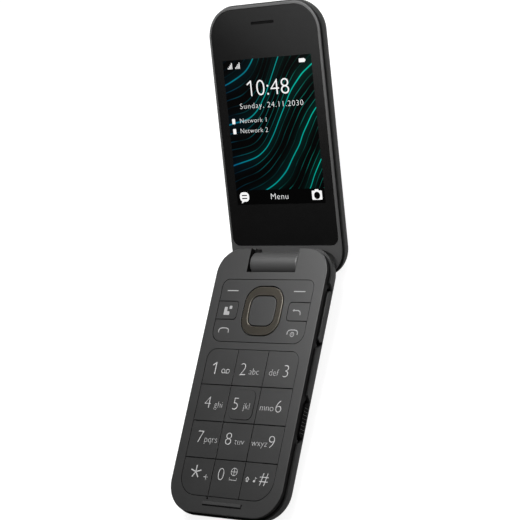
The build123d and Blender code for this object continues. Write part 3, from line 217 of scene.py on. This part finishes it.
# Studio light: a soft lamp above the hinge, whose sheen fades down the keypad and up the lid, two
# weak ones lower down, one on the right that draws bright lines along the edges, and one behind the
# lid. The sky is dim over a pale horizon. Places are in the lower half's frame, in millimetres.
LAMPS = {
    "high_lamp": ((-4, 70, 200), 0.70),
    "middle_lamp": ((-10, 20, 140), 0.038),
    "low_lamp": ((45, -30, 140), 0.065),
    "edge_lamp": ((302, 104, 241), 0.32),
    "back_lamp": ((-60, 420, 160), 0.9),
}
LAMP_SIDE = 0.16
LAMP_AIM = Vector((0, -45, 5))
HORIZON = 0.85
HORIZON_TOP = 0.25
HORIZON_FADE = 0.15
SKY_WAY = (0.55, 0.60, 0.58)
SKY_BASE = 0.01
SKY_GAIN = 0.02
for name, (at, power) in LAMPS.items():
    lamp = bpy.data.objects.new(name, bpy.data.lights.new(name, "AREA"))
    lamp.data.size = LAMP_SIDE
    lamp.data.energy = power
    lamp.visible_camera = False
    bpy.context.scene.collection.objects.link(lamp)
    lamp.location = LOWER @ (Vector(at) * MM)
    towards = LOWER @ (LAMP_AIM * MM) - lamp.location
    lamp.rotation_euler = towards.to_track_quat("-Z", "Y").to_euler()
world = bpy.data.worlds.new("studio")
world.use_nodes = True
world.node_tree.nodes.clear()
way = Flow(world.node_tree).node("TexCoord", {}, {}, out="Generated")
overhead = ((way.along((0, 0, 1)) - (HORIZON_TOP - HORIZON_FADE)) / HORIZON_FADE).clamped()
glow = (way.along(SKY_WAY) * SKY_GAIN + SKY_BASE).clamped()
backdrop = overhead.blend(HORIZON, glow.blend(0.0, 1.0))
sky = way.node("Background", {}, {"Color": backdrop, "Strength": 1.0})
sky.node("OutputWorld", {}, {"Surface": sky})
bpy.context.scene.world = world
bpy.context.scene.view_settings.view_transform = "Standard"

# The front moulding and the lid's inner moulding, with its rim and hinge barrel: dark grey plastic,
# moulded against a finely etched steel, so it is satin with an even grain. The front moulding's
# side walls are painted near black as painted shade, like the band below them, and the lid's
# moulding is painted a little paler as painted light.
HOUSING_GREY = 0.023
HOUSING_POLISH = 0.42
LID_LIT_GREY = 0.044
WALL_SHADE_GREY = 0.004
WALL_POLISH = 0.5
WALL_BELOW = 0.5
UNEVEN_GRAIN = 7.0
FINE_SHEEN = 0.10
BROAD_SHEEN = 0.08


def moulded(grey, polish, grain=0.18, depth=0.004, mottle=0.07, ior=1.5):
    """Moulded plastic: fine etched grain, and slightly uneven tone and polish."""
    def paint(place):
        fine, broad = place.noise(grain, 3.0), place.noise(UNEVEN_GRAIN)
        smoothest = polish - (FINE_SHEEN + BROAD_SHEEN) / 2
        return {"Base Color": (fine * 0.5 + broad * 0.5).mottle(grey, mottle),
                "Roughness": fine * FINE_SHEEN + broad * BROAD_SHEEN + smoothest, "IOR": ior,
                "Normal": fine.bump(depth)}
    return paint


def dress(name, paint, *nodes, mask=None, inner=None):
    """Makes a finish and gives it to these CAD pieces."""
    material = surface(name, paint, mask, inner)
    for node in nodes:
        for slot in frame["nodes"][node].material_slots:
            slot.material = material


# The front moulding's side walls, which are painted near black as painted shade.
def walls(place):
    return place.facing(FACE_OUT) < WALL_BELOW


# The side walls take the painted shade.
dress("front_plastic", moulded(HOUSING_GREY, HOUSING_POLISH), "keypad_housing", mask=walls,
      inner=moulded(WALL_SHADE_GREY, WALL_POLISH, ior=1.2))
# The lid's moulding is the front's plastic painted paler, as painted light.
dress("lid_plastic", moulded(LID_LIT_GREY, HOUSING_POLISH), "lid_frame")

# The black bands between face and back, smoother plastic that sits a step in, and the black keys
# in the right-hand side with the switches behind them. The side key's groove walls are painted
# bright grey, a painted highlight.
SMOOTH = {"grain": 0.3, "mottle": 0.15}
GROOVE_ABOVE = 0.25
GROOVED_SHARE = 0.42
LENGTHWISE = LOWER.to_3x3() @ Vector((0, 1, 0))


def grooves(place):
    """The grooves' walls, without the key's own round ends, where a painted highlight goes."""
    low, high = reach("side_key", LOWER)
    back = LOWER.inverted()[1]
    from_middle = place.along(back[:3]) / MM + (back[3] / MM - (low.y + high.y) / 2)
    grooved = abs(from_middle) < (high.y - low.y) * GROOVED_SHARE
    return (place.facing(LENGTHWISE) > GROOVE_ABOVE) * grooved


dress("black_plastic", moulded(grey=0.007, polish=0.36, **SMOOTH), "lid_band", "volume_key",
      "side_switches")
# The side key's groove walls are painted bright grey as a painted highlight.
dress("groove_highlight_plastic", moulded(grey=0.002, polish=0.5, ior=1.15, **SMOOTH), "side_key", mask=grooves,
      inner=moulded(grey=0.16, polish=0.4))
dress("band_plastic", moulded(grey=0.003, polish=0.45, ior=1.25, **SMOOTH), "base_band")

# The inner back, the clip-on battery cover and the lid's outer shell: dark grey plastic with a
# coarser, softer grain that hides scratches.
dress("cover_plastic", moulded(grey=0.020, polish=0.46, grain=0.28, depth=0.008, ior=1.4),
      "rear_case", "battery_cover", "lid_cover")

# The twelve number keys, cut from one pad of the housing's plastic, with fine gaps and softened
# edges, which are painted dark as painted shade. The middle key has a raised tile. Their figures
# are printed in a thin layer of pale ink and stand on one line in each row.
KEY_LETTERS = {"1": "", "2": "abc", "3": "def", "4": "ghi", "5": "jkl", "6": "mno", "7": "pqrs",
               "8": "tuv", "9": "wxyz", "star": "", "0": "", "hash": ""}
COLUMNS = 3
KEY_POLISH = 0.39
KEY_EDGE_BELOW = 0.9
INK_THICK = 0.012
INK_SUNK = 0.005
INK_MOTTLE = 0.07
DIGIT_X = (-17.1, -3.2, 17.4)
DIGIT_HIGH = 4.8
DIGIT_THIN = 0.026
DIGIT_NARROW = 1.02
DIGIT_STROKE = 0.42
HASH_THIN = 0.012
STAR_ARM = 2.6
STAR_ARMS = 5
STAR_X = -15.6
STAR_DROP = 0.1
FLAG_OUT = 0.27
FLAG_FOOT = 0.74
STEM_OUT = 0.05
LETTER_X = (-11.7, 2.25, 11.9)
LETTER_HIGH = 2.5
LETTER_THIN = 0.022
LETTER_RAISE = 0.45
FIRST_LINE = -46.9
LINE_PITCH = 13.83
SIGN_THIN = 0.21
ARC_STEPS = 6


# The keys' softened edges and walls, which are painted dark as painted shade in the gaps.
def key_edge_shade(place):
    return place.facing(FACE_OUT) < KEY_EDGE_BELOW


def ink(grey):
    def paint(place):
        fine = place.noise(0.25, 3.0)
        return {"Base Color": fine.mottle(grey, INK_MOTTLE), "Roughness": fine.between(0.45, 0.60),
                "Normal": fine.bump(0.002)}
    return paint


def mesh_of(curve):
    """The mesh of a text or outline curve, as a bmesh."""
    holder = bpy.data.objects.new(curve.name, curve)
    bpy.context.scene.collection.objects.link(holder)
    mesh = bpy.data.meshes.new_from_object(holder.evaluated_get(bpy.context.evaluated_depsgraph_get()))
    built = bmesh.new()
    built.from_mesh(mesh)
    bpy.data.objects.remove(holder)
    bpy.data.curves.remove(curve)
    bpy.data.meshes.remove(mesh)
    return built


def word(text, x, foot, high, thin, narrow=1.0, spread=1.0):
    """Lettering with its middle at x and its foot at this height; high is the height of a nought."""
    def typeset(body):
        font = bpy.data.curves.new("letters", "FONT")
        font.body = body
        font.offset = -thin
        font.space_character = spread
        font.extrude = 0.5
        font.resolution_u = 4
        return mesh_of(font)
    nought = typeset("0")
    tall = max(v.co.y for v in nought.verts)
    nought.free()
    built = typeset(text)
    middle = (min(v.co.x for v in built.verts) + max(v.co.x for v in built.verts)) / 2
    for v in built.verts:
        v.co = Vector(((v.co.x - middle) * narrow * high / tall + x, v.co.y * high / tall + foot, v.co.z))
    return built


def outline(*loops):
    """A flat figure from closed loops of points; a loop inside another cuts a hole."""
    curve = bpy.data.curves.new("outline", "CURVE")
    curve.dimensions = "2D"
    curve.fill_mode = "BOTH"
    curve.extrude = 0.5
    for loop in loops:
        spline = curve.splines.new("POLY")
        spline.points.add(len(loop) - 1)
        for point, (x, y) in zip(spline.points, loop):
            point.co = (x, y, 0, 1)
        spline.use_cyclic_u = True
    return mesh_of(curve)


def rounded(x, y, wide, high, corner):
    """A loop round a rectangle with round corners, centred on x and y."""
    loop = []
    for quarter, (a, b) in enumerate(((1, 1), (-1, 1), (-1, -1), (1, -1))):
        for step in range(ARC_STEPS + 1):
            angle = math.pi / 2 * (quarter + step / ARC_STEPS)
            loop.append((x + a * (wide / 2 - corner) + corner * math.cos(angle),
                         y + b * (high / 2 - corner) + corner * math.sin(angle)))
    return loop


def block(x, y, wide, high, corner):
    """A filled rectangle with round corners."""
    return outline(rounded(x, y, wide, high, corner))


def circle(x, y, wide, stroke):
    """A thin circle."""
    inside = wide - 2 * stroke
    return outline(rounded(x, y, wide, wide, wide / 2), rounded(x, y, inside, inside, inside / 2))


def line(points, wide):
    """A line of even width through these points."""
    sides = ([], [])
    for n, point in enumerate(points):
        before, after = Vector(points[max(n - 1, 0)]), Vector(points[min(n + 1, len(points) - 1)])
        across = (after - before).normalized().orthogonal() * (wide / 2)
        sides[0].append(Vector(point) + across)
        sides[1].append(Vector(point) - across)
    return outline(sides[0] + sides[1][::-1])


def spoke(x, y, angle, start, end, wide):
    """A bar that runs out from x and y at this angle in degrees."""
    way = Vector((math.cos(math.radians(angle)), math.sin(math.radians(angle))))
    return line([Vector((x, y)) + way * start, Vector((x, y)) + way * end], wide)


def cross(x, y, arm, wide):
    """Two bars that cross squarely at x and y."""
    return [spoke(x, y, angle, -arm, arm, wide) for angle in (0, 90)]


def shifted(points, x, y):
    return [(x + across, y + up) for across, up in points]


def one(x, foot, high, wide):
    """A figure one with a slanted flag and no foot serif."""
    stem = x + STEM_OUT * high
    flag = [(x - FLAG_OUT * high, foot + FLAG_FOOT * high), (stem, foot + high - wide / 2)]
    return [line(flag, wide), block(stem, foot + high / 2, wide, high, wide / 4)]


def star(x, foot):
    """Five arms that meet in the middle."""
    middle = foot + STAR_ARM - STAR_DROP
    return [spoke(x, middle, 90 + 360 / STAR_ARMS * arm, 0, STAR_ARM, DIGIT_STROKE)
            for arm in range(STAR_ARMS)]


def reels(x, y):
    """Two reels on a tape, the sign for spoken messages."""
    return [*(circle(x + side * 1.1, y + 0.9, 1.8, SIGN_THIN) for side in (-1, 1)),
            block(x, y + 0.15, 2.4, SIGN_THIN, 0.1)]


def plus(x, y):
    return cross(x + 1.4, y + 0.35, 1.05, SIGN_THIN)


def globe_and_space(x, y):
    """A globe over the bracket that stands for a space."""
    space = [(-1.1, 1.0), (-1.1, 0.1), (2.3, 0.1), (2.3, 1.0)]
    return [circle(x + 0.6, y + 3.3, 3.1, SIGN_THIN), *cross(x + 0.6, y + 3.3, 1.4, SIGN_THIN),
            line(shifted(space, x, y), SIGN_THIN)]


def arrow_and_note(x, y):
    """A hollow arrow that points up, and a musical note."""
    arrow = [(0, 2.0), (1.1, 0.9), (0.5, 0.9), (0.5, 0), (-0.5, 0), (-0.5, 0.9), (-1.1, 0.9)]
    hollow = [(across * 0.55, 0.42 + up * 0.62) for across, up in arrow]
    stem = [(1.5, 0.5), (1.5, 2.1), (2.2, 1.5)]
    return [outline(shifted(arrow, x - 2.2, y), shifted(hollow, x - 2.2, y)),
            line(shifted(stem, x, y), SIGN_THIN), block(x + 1.15, y + 0.45, 1.0, 0.8, 0.35)]


def printed(name, node, body, half, figures, finish, level=None):
    """Joins figures into one thin layer on the top of a CAD piece, riding on that piece's body."""
    top = reach(node, half)[1].z if level is None else level
    mesh = bpy.data.meshes.new(name)
    whole = bmesh.new()
    for figure in figures:
        figure.to_mesh(mesh)
        figure.free()
        whole.from_mesh(mesh)
    for v in whole.verts:
        v.co = Vector((v.co.x, v.co.y, top + (INK_THICK if v.co.z > 0 else -INK_SUNK))) * MM
    whole.to_mesh(mesh)
    whole.free()
    mesh.materials.append(finish)
    piece = bpy.data.objects.new(name, mesh)
    bpy.context.scene.collection.objects.link(piece)
    piece.matrix_world = half.copy()
    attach(piece, body)


# The keys' softened edges and walls take near-black plastic, painted shade in the gaps between them.
dress("key_plastic", moulded(HOUSING_GREY, KEY_POLISH, grain=0.14, depth=0.003),
      *("key_" + name for name in KEY_LETTERS), "nav_plate", "function_key", "back_key", "ok_key",
      mask=key_edge_shade, inner=moulded(grey=0.006, polish=0.5, ior=1.2))
pale_ink = surface("pale_ink", ink(0.41))
small_signs = {"1": reels, "star": plus, "0": globe_and_space, "hash": arrow_and_note}
for number, (name, letters) in enumerate(KEY_LETTERS.items()):
    row, column = divmod(number, COLUMNS)
    foot = FIRST_LINE - row * LINE_PITCH
    if name == "1":
        figures = one(DIGIT_X[column], foot, DIGIT_HIGH, DIGIT_STROKE)
    elif name == "star":
        figures = star(STAR_X, foot)
    elif name == "hash":
        figures = [word("#", DIGIT_X[column], foot, DIGIT_HIGH, HASH_THIN, DIGIT_NARROW)]
    else:
        figures = [word(name, DIGIT_X[column], foot, DIGIT_HIGH, DIGIT_THIN, DIGIT_NARROW)]
    if letters:
        figures.append(word(letters, LETTER_X[column], foot + LETTER_RAISE, LETTER_HIGH, LETTER_THIN))
    if name in small_signs:
        figures += small_signs[name](LETTER_X[column], foot + LETTER_RAISE)
    printed("legend_" + name, "key_" + name, "key_" + name, LOWER, figures, pale_ink)

# The gap along the rubber rib's lower and right edges, where it stands in its slot in the front
# moulding, with a painted shadow in it: a thin black line drawn over the housing.
RIB_SHADOW_OUT = 0.2
RIB_SHADOW_WIDE = 0.6
RIB_SHADOW_DOWN = 0.2


def shadow(place):
    return {"Base Color": place.noise(0.4).blend(0.003, 0.006), "Roughness": 0.7, "IOR": 1.1}


# A painted shadow: a thin black line along the rib's lower and right edges.
low, high = reach("bumper_rib", LOWER)
under, beside = low.y - RIB_SHADOW_OUT, high.x + RIB_SHADOW_OUT
printed("rib_shadow", "keypad_housing", "base", LOWER,
        [line([(low.x, under), (beside, under), (beside, high.y)], RIB_SHADOW_WIDE)],
        surface("rib_shadow_dark", shadow), high.z - RIB_SHADOW_DOWN)

# The corner plate round the ring, one sheet with both soft keys, the call key and the end key, and
# the two boxed keys cut out of it. Their signs are printed in a duller ink.
SIGN_STROKE = 0.37
LEFT = -16.9
RIGHT = 16.7
SOFT_KEY_Y = -12.65
BOX_KEY_Y = -20.9
CALL_Y = -29.1
CALL_SHIFT = -0.1
DASH_WIDE = 5.5
sign_ink = surface("sign_ink", ink(0.27))


def dash(x):
    return block(x, SOFT_KEY_Y, DASH_WIDE, SIGN_STROKE, 0.2)


def handset(x):
    """A resting handset: a shallow arch whose ends turn down."""
    half = [(0.9, 1.0), (1.95, 0.75), (2.4, 0.1), (2.4, -0.9)]
    arch = [(-across, up) for across, up in half[::-1]] + half
    return line(shifted(arch, x, CALL_Y), SIGN_STROKE)


def end_sign(x):
    """A small circle with a bar in it."""
    return [circle(x, CALL_Y - 0.8, 2.0, 0.3), block(x, CALL_Y - 0.7, 0.3, 0.9, 0.1)]


arrow_turn = [(-1.7, 0.6), (0.5, 0.6), (1.3, 0.3), (1.7, -0.3), (1.8, -1.2)]
arrow_head = [(-2.1, 0.6), (-1.3, 1.15), (-1.3, 0.05)]
printed("corner_signs", "nav_plate", "nav_plate", LOWER, [
    dash(LEFT + 0.3), dash(RIGHT - 0.6), handset(LEFT + CALL_SHIFT), handset(RIGHT + CALL_SHIFT),
    *end_sign(RIGHT + CALL_SHIFT),
], sign_ink)
printed("function_sign", "function_key", "function_key", LOWER, [
    block(LEFT - 1.2, BOX_KEY_Y - 0.2, 1.5, 3.3, 0.3),
    block(LEFT + 0.1, BOX_KEY_Y - 1.1, 1.5, 1.5, 0.3),
    block(LEFT + 1.1, BOX_KEY_Y + 1.3, 1.3, 1.3, 0.3),
], sign_ink)
printed("back_sign", "back_key", "back_key", LOWER, [
    line(shifted(arrow_turn, RIGHT, BOX_KEY_Y), SIGN_STROKE),
    outline(shifted(arrow_head, RIGHT, BOX_KEY_Y)),
], sign_ink)

# The four-way ring, plated plastic under a dark bronze lacquer, polished thin along its edges,
# which are also painted paler as a painted highlight.
# It rocks on the rubber frame below it.
BRONZE = (0.042, 0.037, 0.029)
EDGE_HIGHLIGHT = (0.26, 0.24, 0.20)
RING_EDGE_BELOW = 0.95
EDGE_SHINE = 0.10


def bronze(place):
    fine, broad = place.noise(0.12, 3.0), place.noise(5.0)
    # The ring's edges are smoother and painted paler, a painted highlight.
    edge = place.facing(FACE_OUT) < RING_EDGE_BELOW
    return {"Base Color": edge.blend(broad.mottle(BRONZE, 0.1), EDGE_HIGHLIGHT), "Metallic": 0.75,
            "Roughness": fine.between(0.34, 0.46) - edge * EDGE_SHINE, "Normal": fine.bump(0.002)}


dress("ring_bronze", bronze, "nav_ring")

# Moulded rubber: the rib below the keys, and the blacker mat under them with the frames that the
# corner plate and the ring rock on, painted near black as painted shade for the gaps and the
# groove round the ring. It is dull and slightly dusty.
RUBBER_MOTTLE = 0.23


def rubber(grey):
    def paint(place):
        fine, broad = place.noise(0.2, 3.0), place.noise(4.0)
        return {"Base Color": broad.mottle(grey, RUBBER_MOTTLE), "Roughness": fine.between(0.60, 0.75),
                "Normal": fine.bump(0.006)}
    return paint


dress("soft_rubber", rubber(grey=0.021), "bumper_rib")
# The mat and pads are painted near black, a painted shade in the gaps over them.
dress("shade_black_rubber", rubber(grey=0.003), "keypad_mat", "nav_plate_pad", "nav_ring_pad")

# The lid's window: one pane, printed black round the display that is bonded behind it. The lit
# display shows a plain picture of fine rising waves, every fifth of them bright, with a clock, a
# date and a few signs, which are drawn as thin lit figures.
GLASS_POLISH = 0.22
GLASS_SHEEN = 0.03
VIEW_HALF = 21.6
VIEW_HIGH = 80.75
VIEW_FOOT = 23.15
BAR_TOP = 29.0
BAR_MIDDLE = 26.3
WAVE_SLANT = 0.9
WAVE_PITCH = 3.6
WAVE_WANDER = 7.0
SWELLS = ((0.35, 0.11, 4.4), (-0.2, 0.23, 0.9))
WAVE_SHARP = 50.0
WAVE_LIGHT = (0.04, 0.36)
CREST_EVERY = 5
CREST_SHARP = 500.0
CREST_LIGHT = 0.9
HAZE_LIGHT = 0.02
PATCH_ABOVE = 0.44
PATCH_EDGE = 4.0
TEAL = (0.0, 0.62, 0.46)
BLUE = (0.0, 0.13, 0.26)
WAVES = math.tau / WAVE_PITCH
CLOCK_FOOT = 66.2
CLOCK_HIGH = 6.1
DATE_FOOT = 61.4
LINE_MIDDLES = (56.6, 52.6)
SIGNAL_X = (-19.1, -15.3)
SIGNAL_FOOT = 77.3
SIGNAL_BARS = 4
BATTERY_Y = 78.6
MENU_FOOT = 25.1
MESSAGE_X = -17.8
LENS_X = 17.9


def glassy(place, polish=GLASS_POLISH):
    """The roughness of polished glass, uneven by a hair."""
    return place.noise(3.0).between(polish, polish + GLASS_SHEEN)


def printed_edge(place):
    """The pane over its black print."""
    return {"Base Color": place.noise(6.0).blend(0.0028, 0.0036), "IOR": 1.5, "Roughness": glassy(place)}


def on_lid(place):
    """How far across and up the lid a place lies, in millimetres."""
    back = LID.inverted()
    return [place.along(back[axis][:3]) / MM + back[axis][3] / MM for axis in (0, 1)]


def in_view(place):
    x, y = on_lid(place)
    return (abs(x) < VIEW_HALF) * (y > VIEW_FOOT) * (y < VIEW_HIGH)


def lit_view(place):
    """The bonded display: deep black with hardly any sheen, on which thin lines of light rise."""
    x, y = on_lid(place)
    swell = sum(((x + y * slant) * pace).sine() * height for slant, pace, height in SWELLS)
    rise = y - x * WAVE_SLANT + swell + place.noise(30) * WAVE_WANDER
    wave, crest = (rise * WAVES).ripple(), (rise * (WAVES / CREST_EVERY)).ripple()
    patch = ((place.noise(13, 1.0) - PATCH_ABOVE) * PATCH_EDGE).clamped()
    light = wave ** WAVE_SHARP * patch.between(*WAVE_LIGHT)
    light += crest ** CREST_SHARP * CREST_LIGHT + crest ** 2.0 * HAZE_LIGHT
    glow = (light * (y > BAR_TOP)).clamped()
    hue = (x / (2 * VIEW_HALF) + place.noise(14)).clamped()
    return {"Base Color": shade(0.001), "Roughness": glassy(place), "IOR": 1.12,
            "Emission Color": glow.blend(0.0, hue.blend(BLUE, TEAL)), "Emission Strength": 1.0}


def lit(place):
    return {"Base Color": shade(0.02), "Roughness": glassy(place),
            "Emission Color": place.noise(6.0).blend(0.88, 0.96), "Emission Strength": 1.0}


def shown(name, *figures):
    printed(name, "main_window", "lid", LID, figures, lit_figures)


def signal(x):
    """A stair of signal bars, rising to the right."""
    return [block(x + 0.62 * n, SIGNAL_FOOT + 0.3 * (n + 1), 0.36, 0.6 * (n + 1), 0.05)
            for n in range(SIGNAL_BARS)]


dress("window_glass", printed_edge, "main_window", mask=in_view, inner=lit_view)
lit_figures = surface("lit_figures", lit)
shown("screen_clock", *one(-9.05, CLOCK_FOOT, CLOCK_HIGH, 0.56),
      word("0:48", 1.8, CLOCK_FOOT, CLOCK_HIGH, thin=0.016, narrow=1.08))
shown("screen_date",
      word("Sunday, 24.11.2030", 0.3, DATE_FOOT, 2.1, thin=0.018, narrow=1.12, spread=1.14))
shown("screen_signal", *(bar for x in SIGNAL_X for bar in signal(x)))
shown("screen_battery", block(17.1, BATTERY_Y, 2.8, 1.5, 0.3), block(18.65, BATTERY_Y, 0.4, 0.7, 0.1))
for number, y in enumerate(LINE_MIDDLES, 1):
    shown(f"screen_line_{number}", block(-19.2, y, 1.5, 2.1, 0.3),
          word(f"Network {number}", -9.4, y - 0.8, 1.8, thin=0.018, narrow=1.08, spread=1.08))
text_lines = [rounded(MESSAGE_X, BAR_MIDDLE + up, 2.6, 0.45, 0.1) for up in (0.6, -0.6)]
shown("screen_message", outline(rounded(MESSAGE_X, BAR_MIDDLE, 4.6, 3.8, 1.6), *text_lines),
      outline(shifted([(-1.4, -1.6), (0.2, -1.6), (-1.6, -2.6)], MESSAGE_X, BAR_MIDDLE)))
shown("screen_menu", word("Menu", -0.3, MENU_FOOT, 2.3, thin=0.016, narrow=1.12, spread=1.08))
lens_hole = rounded(LENS_X, BAR_MIDDLE - 0.1, 2.9, 2.9, 1.45)
shown("screen_camera", outline(rounded(LENS_X, BAR_MIDDLE, 4.8, 3.6, 0.4), lens_hole),
      block(LENS_X, BAR_MIDDLE + 1.9, 1.8, 0.8, 0.2))

# The display itself and the small one in the lid's back, thin glass with a dark polariser over it,
# glued into their trays.


def unlit_panel(place):
    fine = place.noise(0.3, 2.0)
    return {"Base Color": fine.blend(0.010, 0.016), "Roughness": fine.between(0.20, 0.25)}


dress("display_panel", unlit_panel, "main_display", "outer_display")

# The earpiece's grille strip, low in the window's slot: fine wire, woven square along the lid and
# painted black.
WIRE_TURNS = 14.0
UP_THE_LID = (0, 0.84, 0.54)


def wire_mesh(place):
    across, along = ((place.along(way) / MM * WIRE_TURNS).sine() for way in ((1, 0, 0), UP_THE_LID))
    weave = (across * along).between(0.5, 1.0).clamped()
    return {"Base Color": weave.blend(0.001, 0.005), "Roughness": 0.8, "IOR": 1.1,
            "Normal": weave.bump(0.03)}


dress("earpiece_wire", wire_mesh, "earpiece_mesh")

# The small pane in the lid's back, polished plastic over black print, with the camera's and the
# light's clear covers in it.
PANE_POLISH = 0.06
CAMERA_TINT = (0.010, 0.012, 0.020)
LIGHT_TINT = (0.62, 0.58, 0.36)


def black_pane(place):
    return {"Base Color": place.noise(5.0).blend(0.003, 0.005), "IOR": 1.5,
            "Roughness": glassy(place, PANE_POLISH)}


def clear_cover(tint):
    def paint(place):
        return {"Base Color": place.noise(0.8).mottle(tint, 0.1), "Roughness": 0.08, "Coat Weight": 1.0}
    return paint


dress("outer_pane", black_pane, "outer_window")
dress("camera_cover", clear_cover(CAMERA_TINT), "camera_lens")
dress("light_cover", clear_cover(LIGHT_TINT), "flash_lens")

# Black moulded bodies: the loudspeaker, the headset socket, the earpiece and the camera's block,
# each set in its seat in the housing or on its board.
dress("black_moulding", moulded(grey=0.010, polish=0.5, grain=0.3), "loudspeaker", "headset_jack",
      "earpiece", "camera_module")

# Turned and folded metal parts: domes, motor, socket shell, card holder, tray, screws, magnet,
# microphone can and the hinge's cartridge, cam and bush. Brushed bright steel.
BRUSH_STRETCH = (1.0, 12.0, 12.0)


def steel(place):
    grain = place.node("Mapping", {}, {"Vector": place, "Scale": BRUSH_STRETCH}).noise(2.0, 3.0)
    return {"Base Color": grain.blend(0.45, 0.58), "Metallic": 1.0,
            "Roughness": grain.between(0.24, 0.44), "Normal": grain.bump(0.002)}


dress("steel", steel, "key_domes", "vibration_motor", "usb_socket", "sim_holder", "microphone",
      "base_screws", "hinge_cartridge", "display_bracket", "lid_magnet", "lid_screws", "hinge_cam",
      "hinge_bush")

# The contacts for the battery and the desk charger: sprung blades and flat pads of a copper alloy,
# stamped and then plated with gold.
DULL_GOLD = (0.72, 0.52, 0.22)
BRIGHT_GOLD = (0.82, 0.62, 0.30)


def plated(place):
    fine = place.noise(0.4, 3.0)
    return {"Base Color": fine.blend(DULL_GOLD, BRIGHT_GOLD), "Metallic": 1.0,
            "Roughness": fine.between(0.20, 0.35)}


dress("plated_contact", plated, "charging_contacts", "battery_contacts")

# The circuit boards and the rolled flexible circuit: green lacquer over fine copper lines that
# wander lengthwise, with rows of plated pads left bare.
LACQUER = (0.006, 0.060, 0.034)
LACQUERED_LINE = (0.014, 0.110, 0.055)
PAD_GOLD = (0.60, 0.50, 0.26)
COPPER_PITCH = 1.1
COPPER_WIDE = 0.35
PAD_PITCH = (3.1, 2.3)
PAD_SIZE = (0.6, 0.5)


def board(place):
    x, y = place.along((1, 0, 0)) / MM, place.along((0, 1, 0)) / MM
    lines = ((x + place.noise(9.0) * 6.0) % COPPER_PITCH < COPPER_WIDE) * (place.noise(6.0) > 0.48)
    pads = (x % PAD_PITCH[0] < PAD_SIZE[0]) * (y % PAD_PITCH[1] < PAD_SIZE[1]) * (place.noise(8.0) > 0.55)
    return {"Base Color": pads.blend(lines.blend(LACQUER, LACQUERED_LINE), PAD_GOLD),
            "Roughness": pads.between(0.25, 0.35), "Metallic": pads * 0.9}


dress("circuit_board", board, "main_board", "lid_board", "hinge_flex")

# The battery, a flat cell wrapped in plain grey film without a label. It lies in the walls of the
# inner back, under the clip-on cover.
FILM_DARK = (0.23, 0.24, 0.26)
FILM_LIGHT = (0.27, 0.28, 0.30)


def film(place):
    broad = place.noise(8.0)
    return {"Base Color": broad.blend(FILM_DARK, FILM_LIGHT), "Roughness": broad.between(0.35, 0.45),
            "Normal": broad.bump(0.05)}


dress("battery_film", film, "battery")
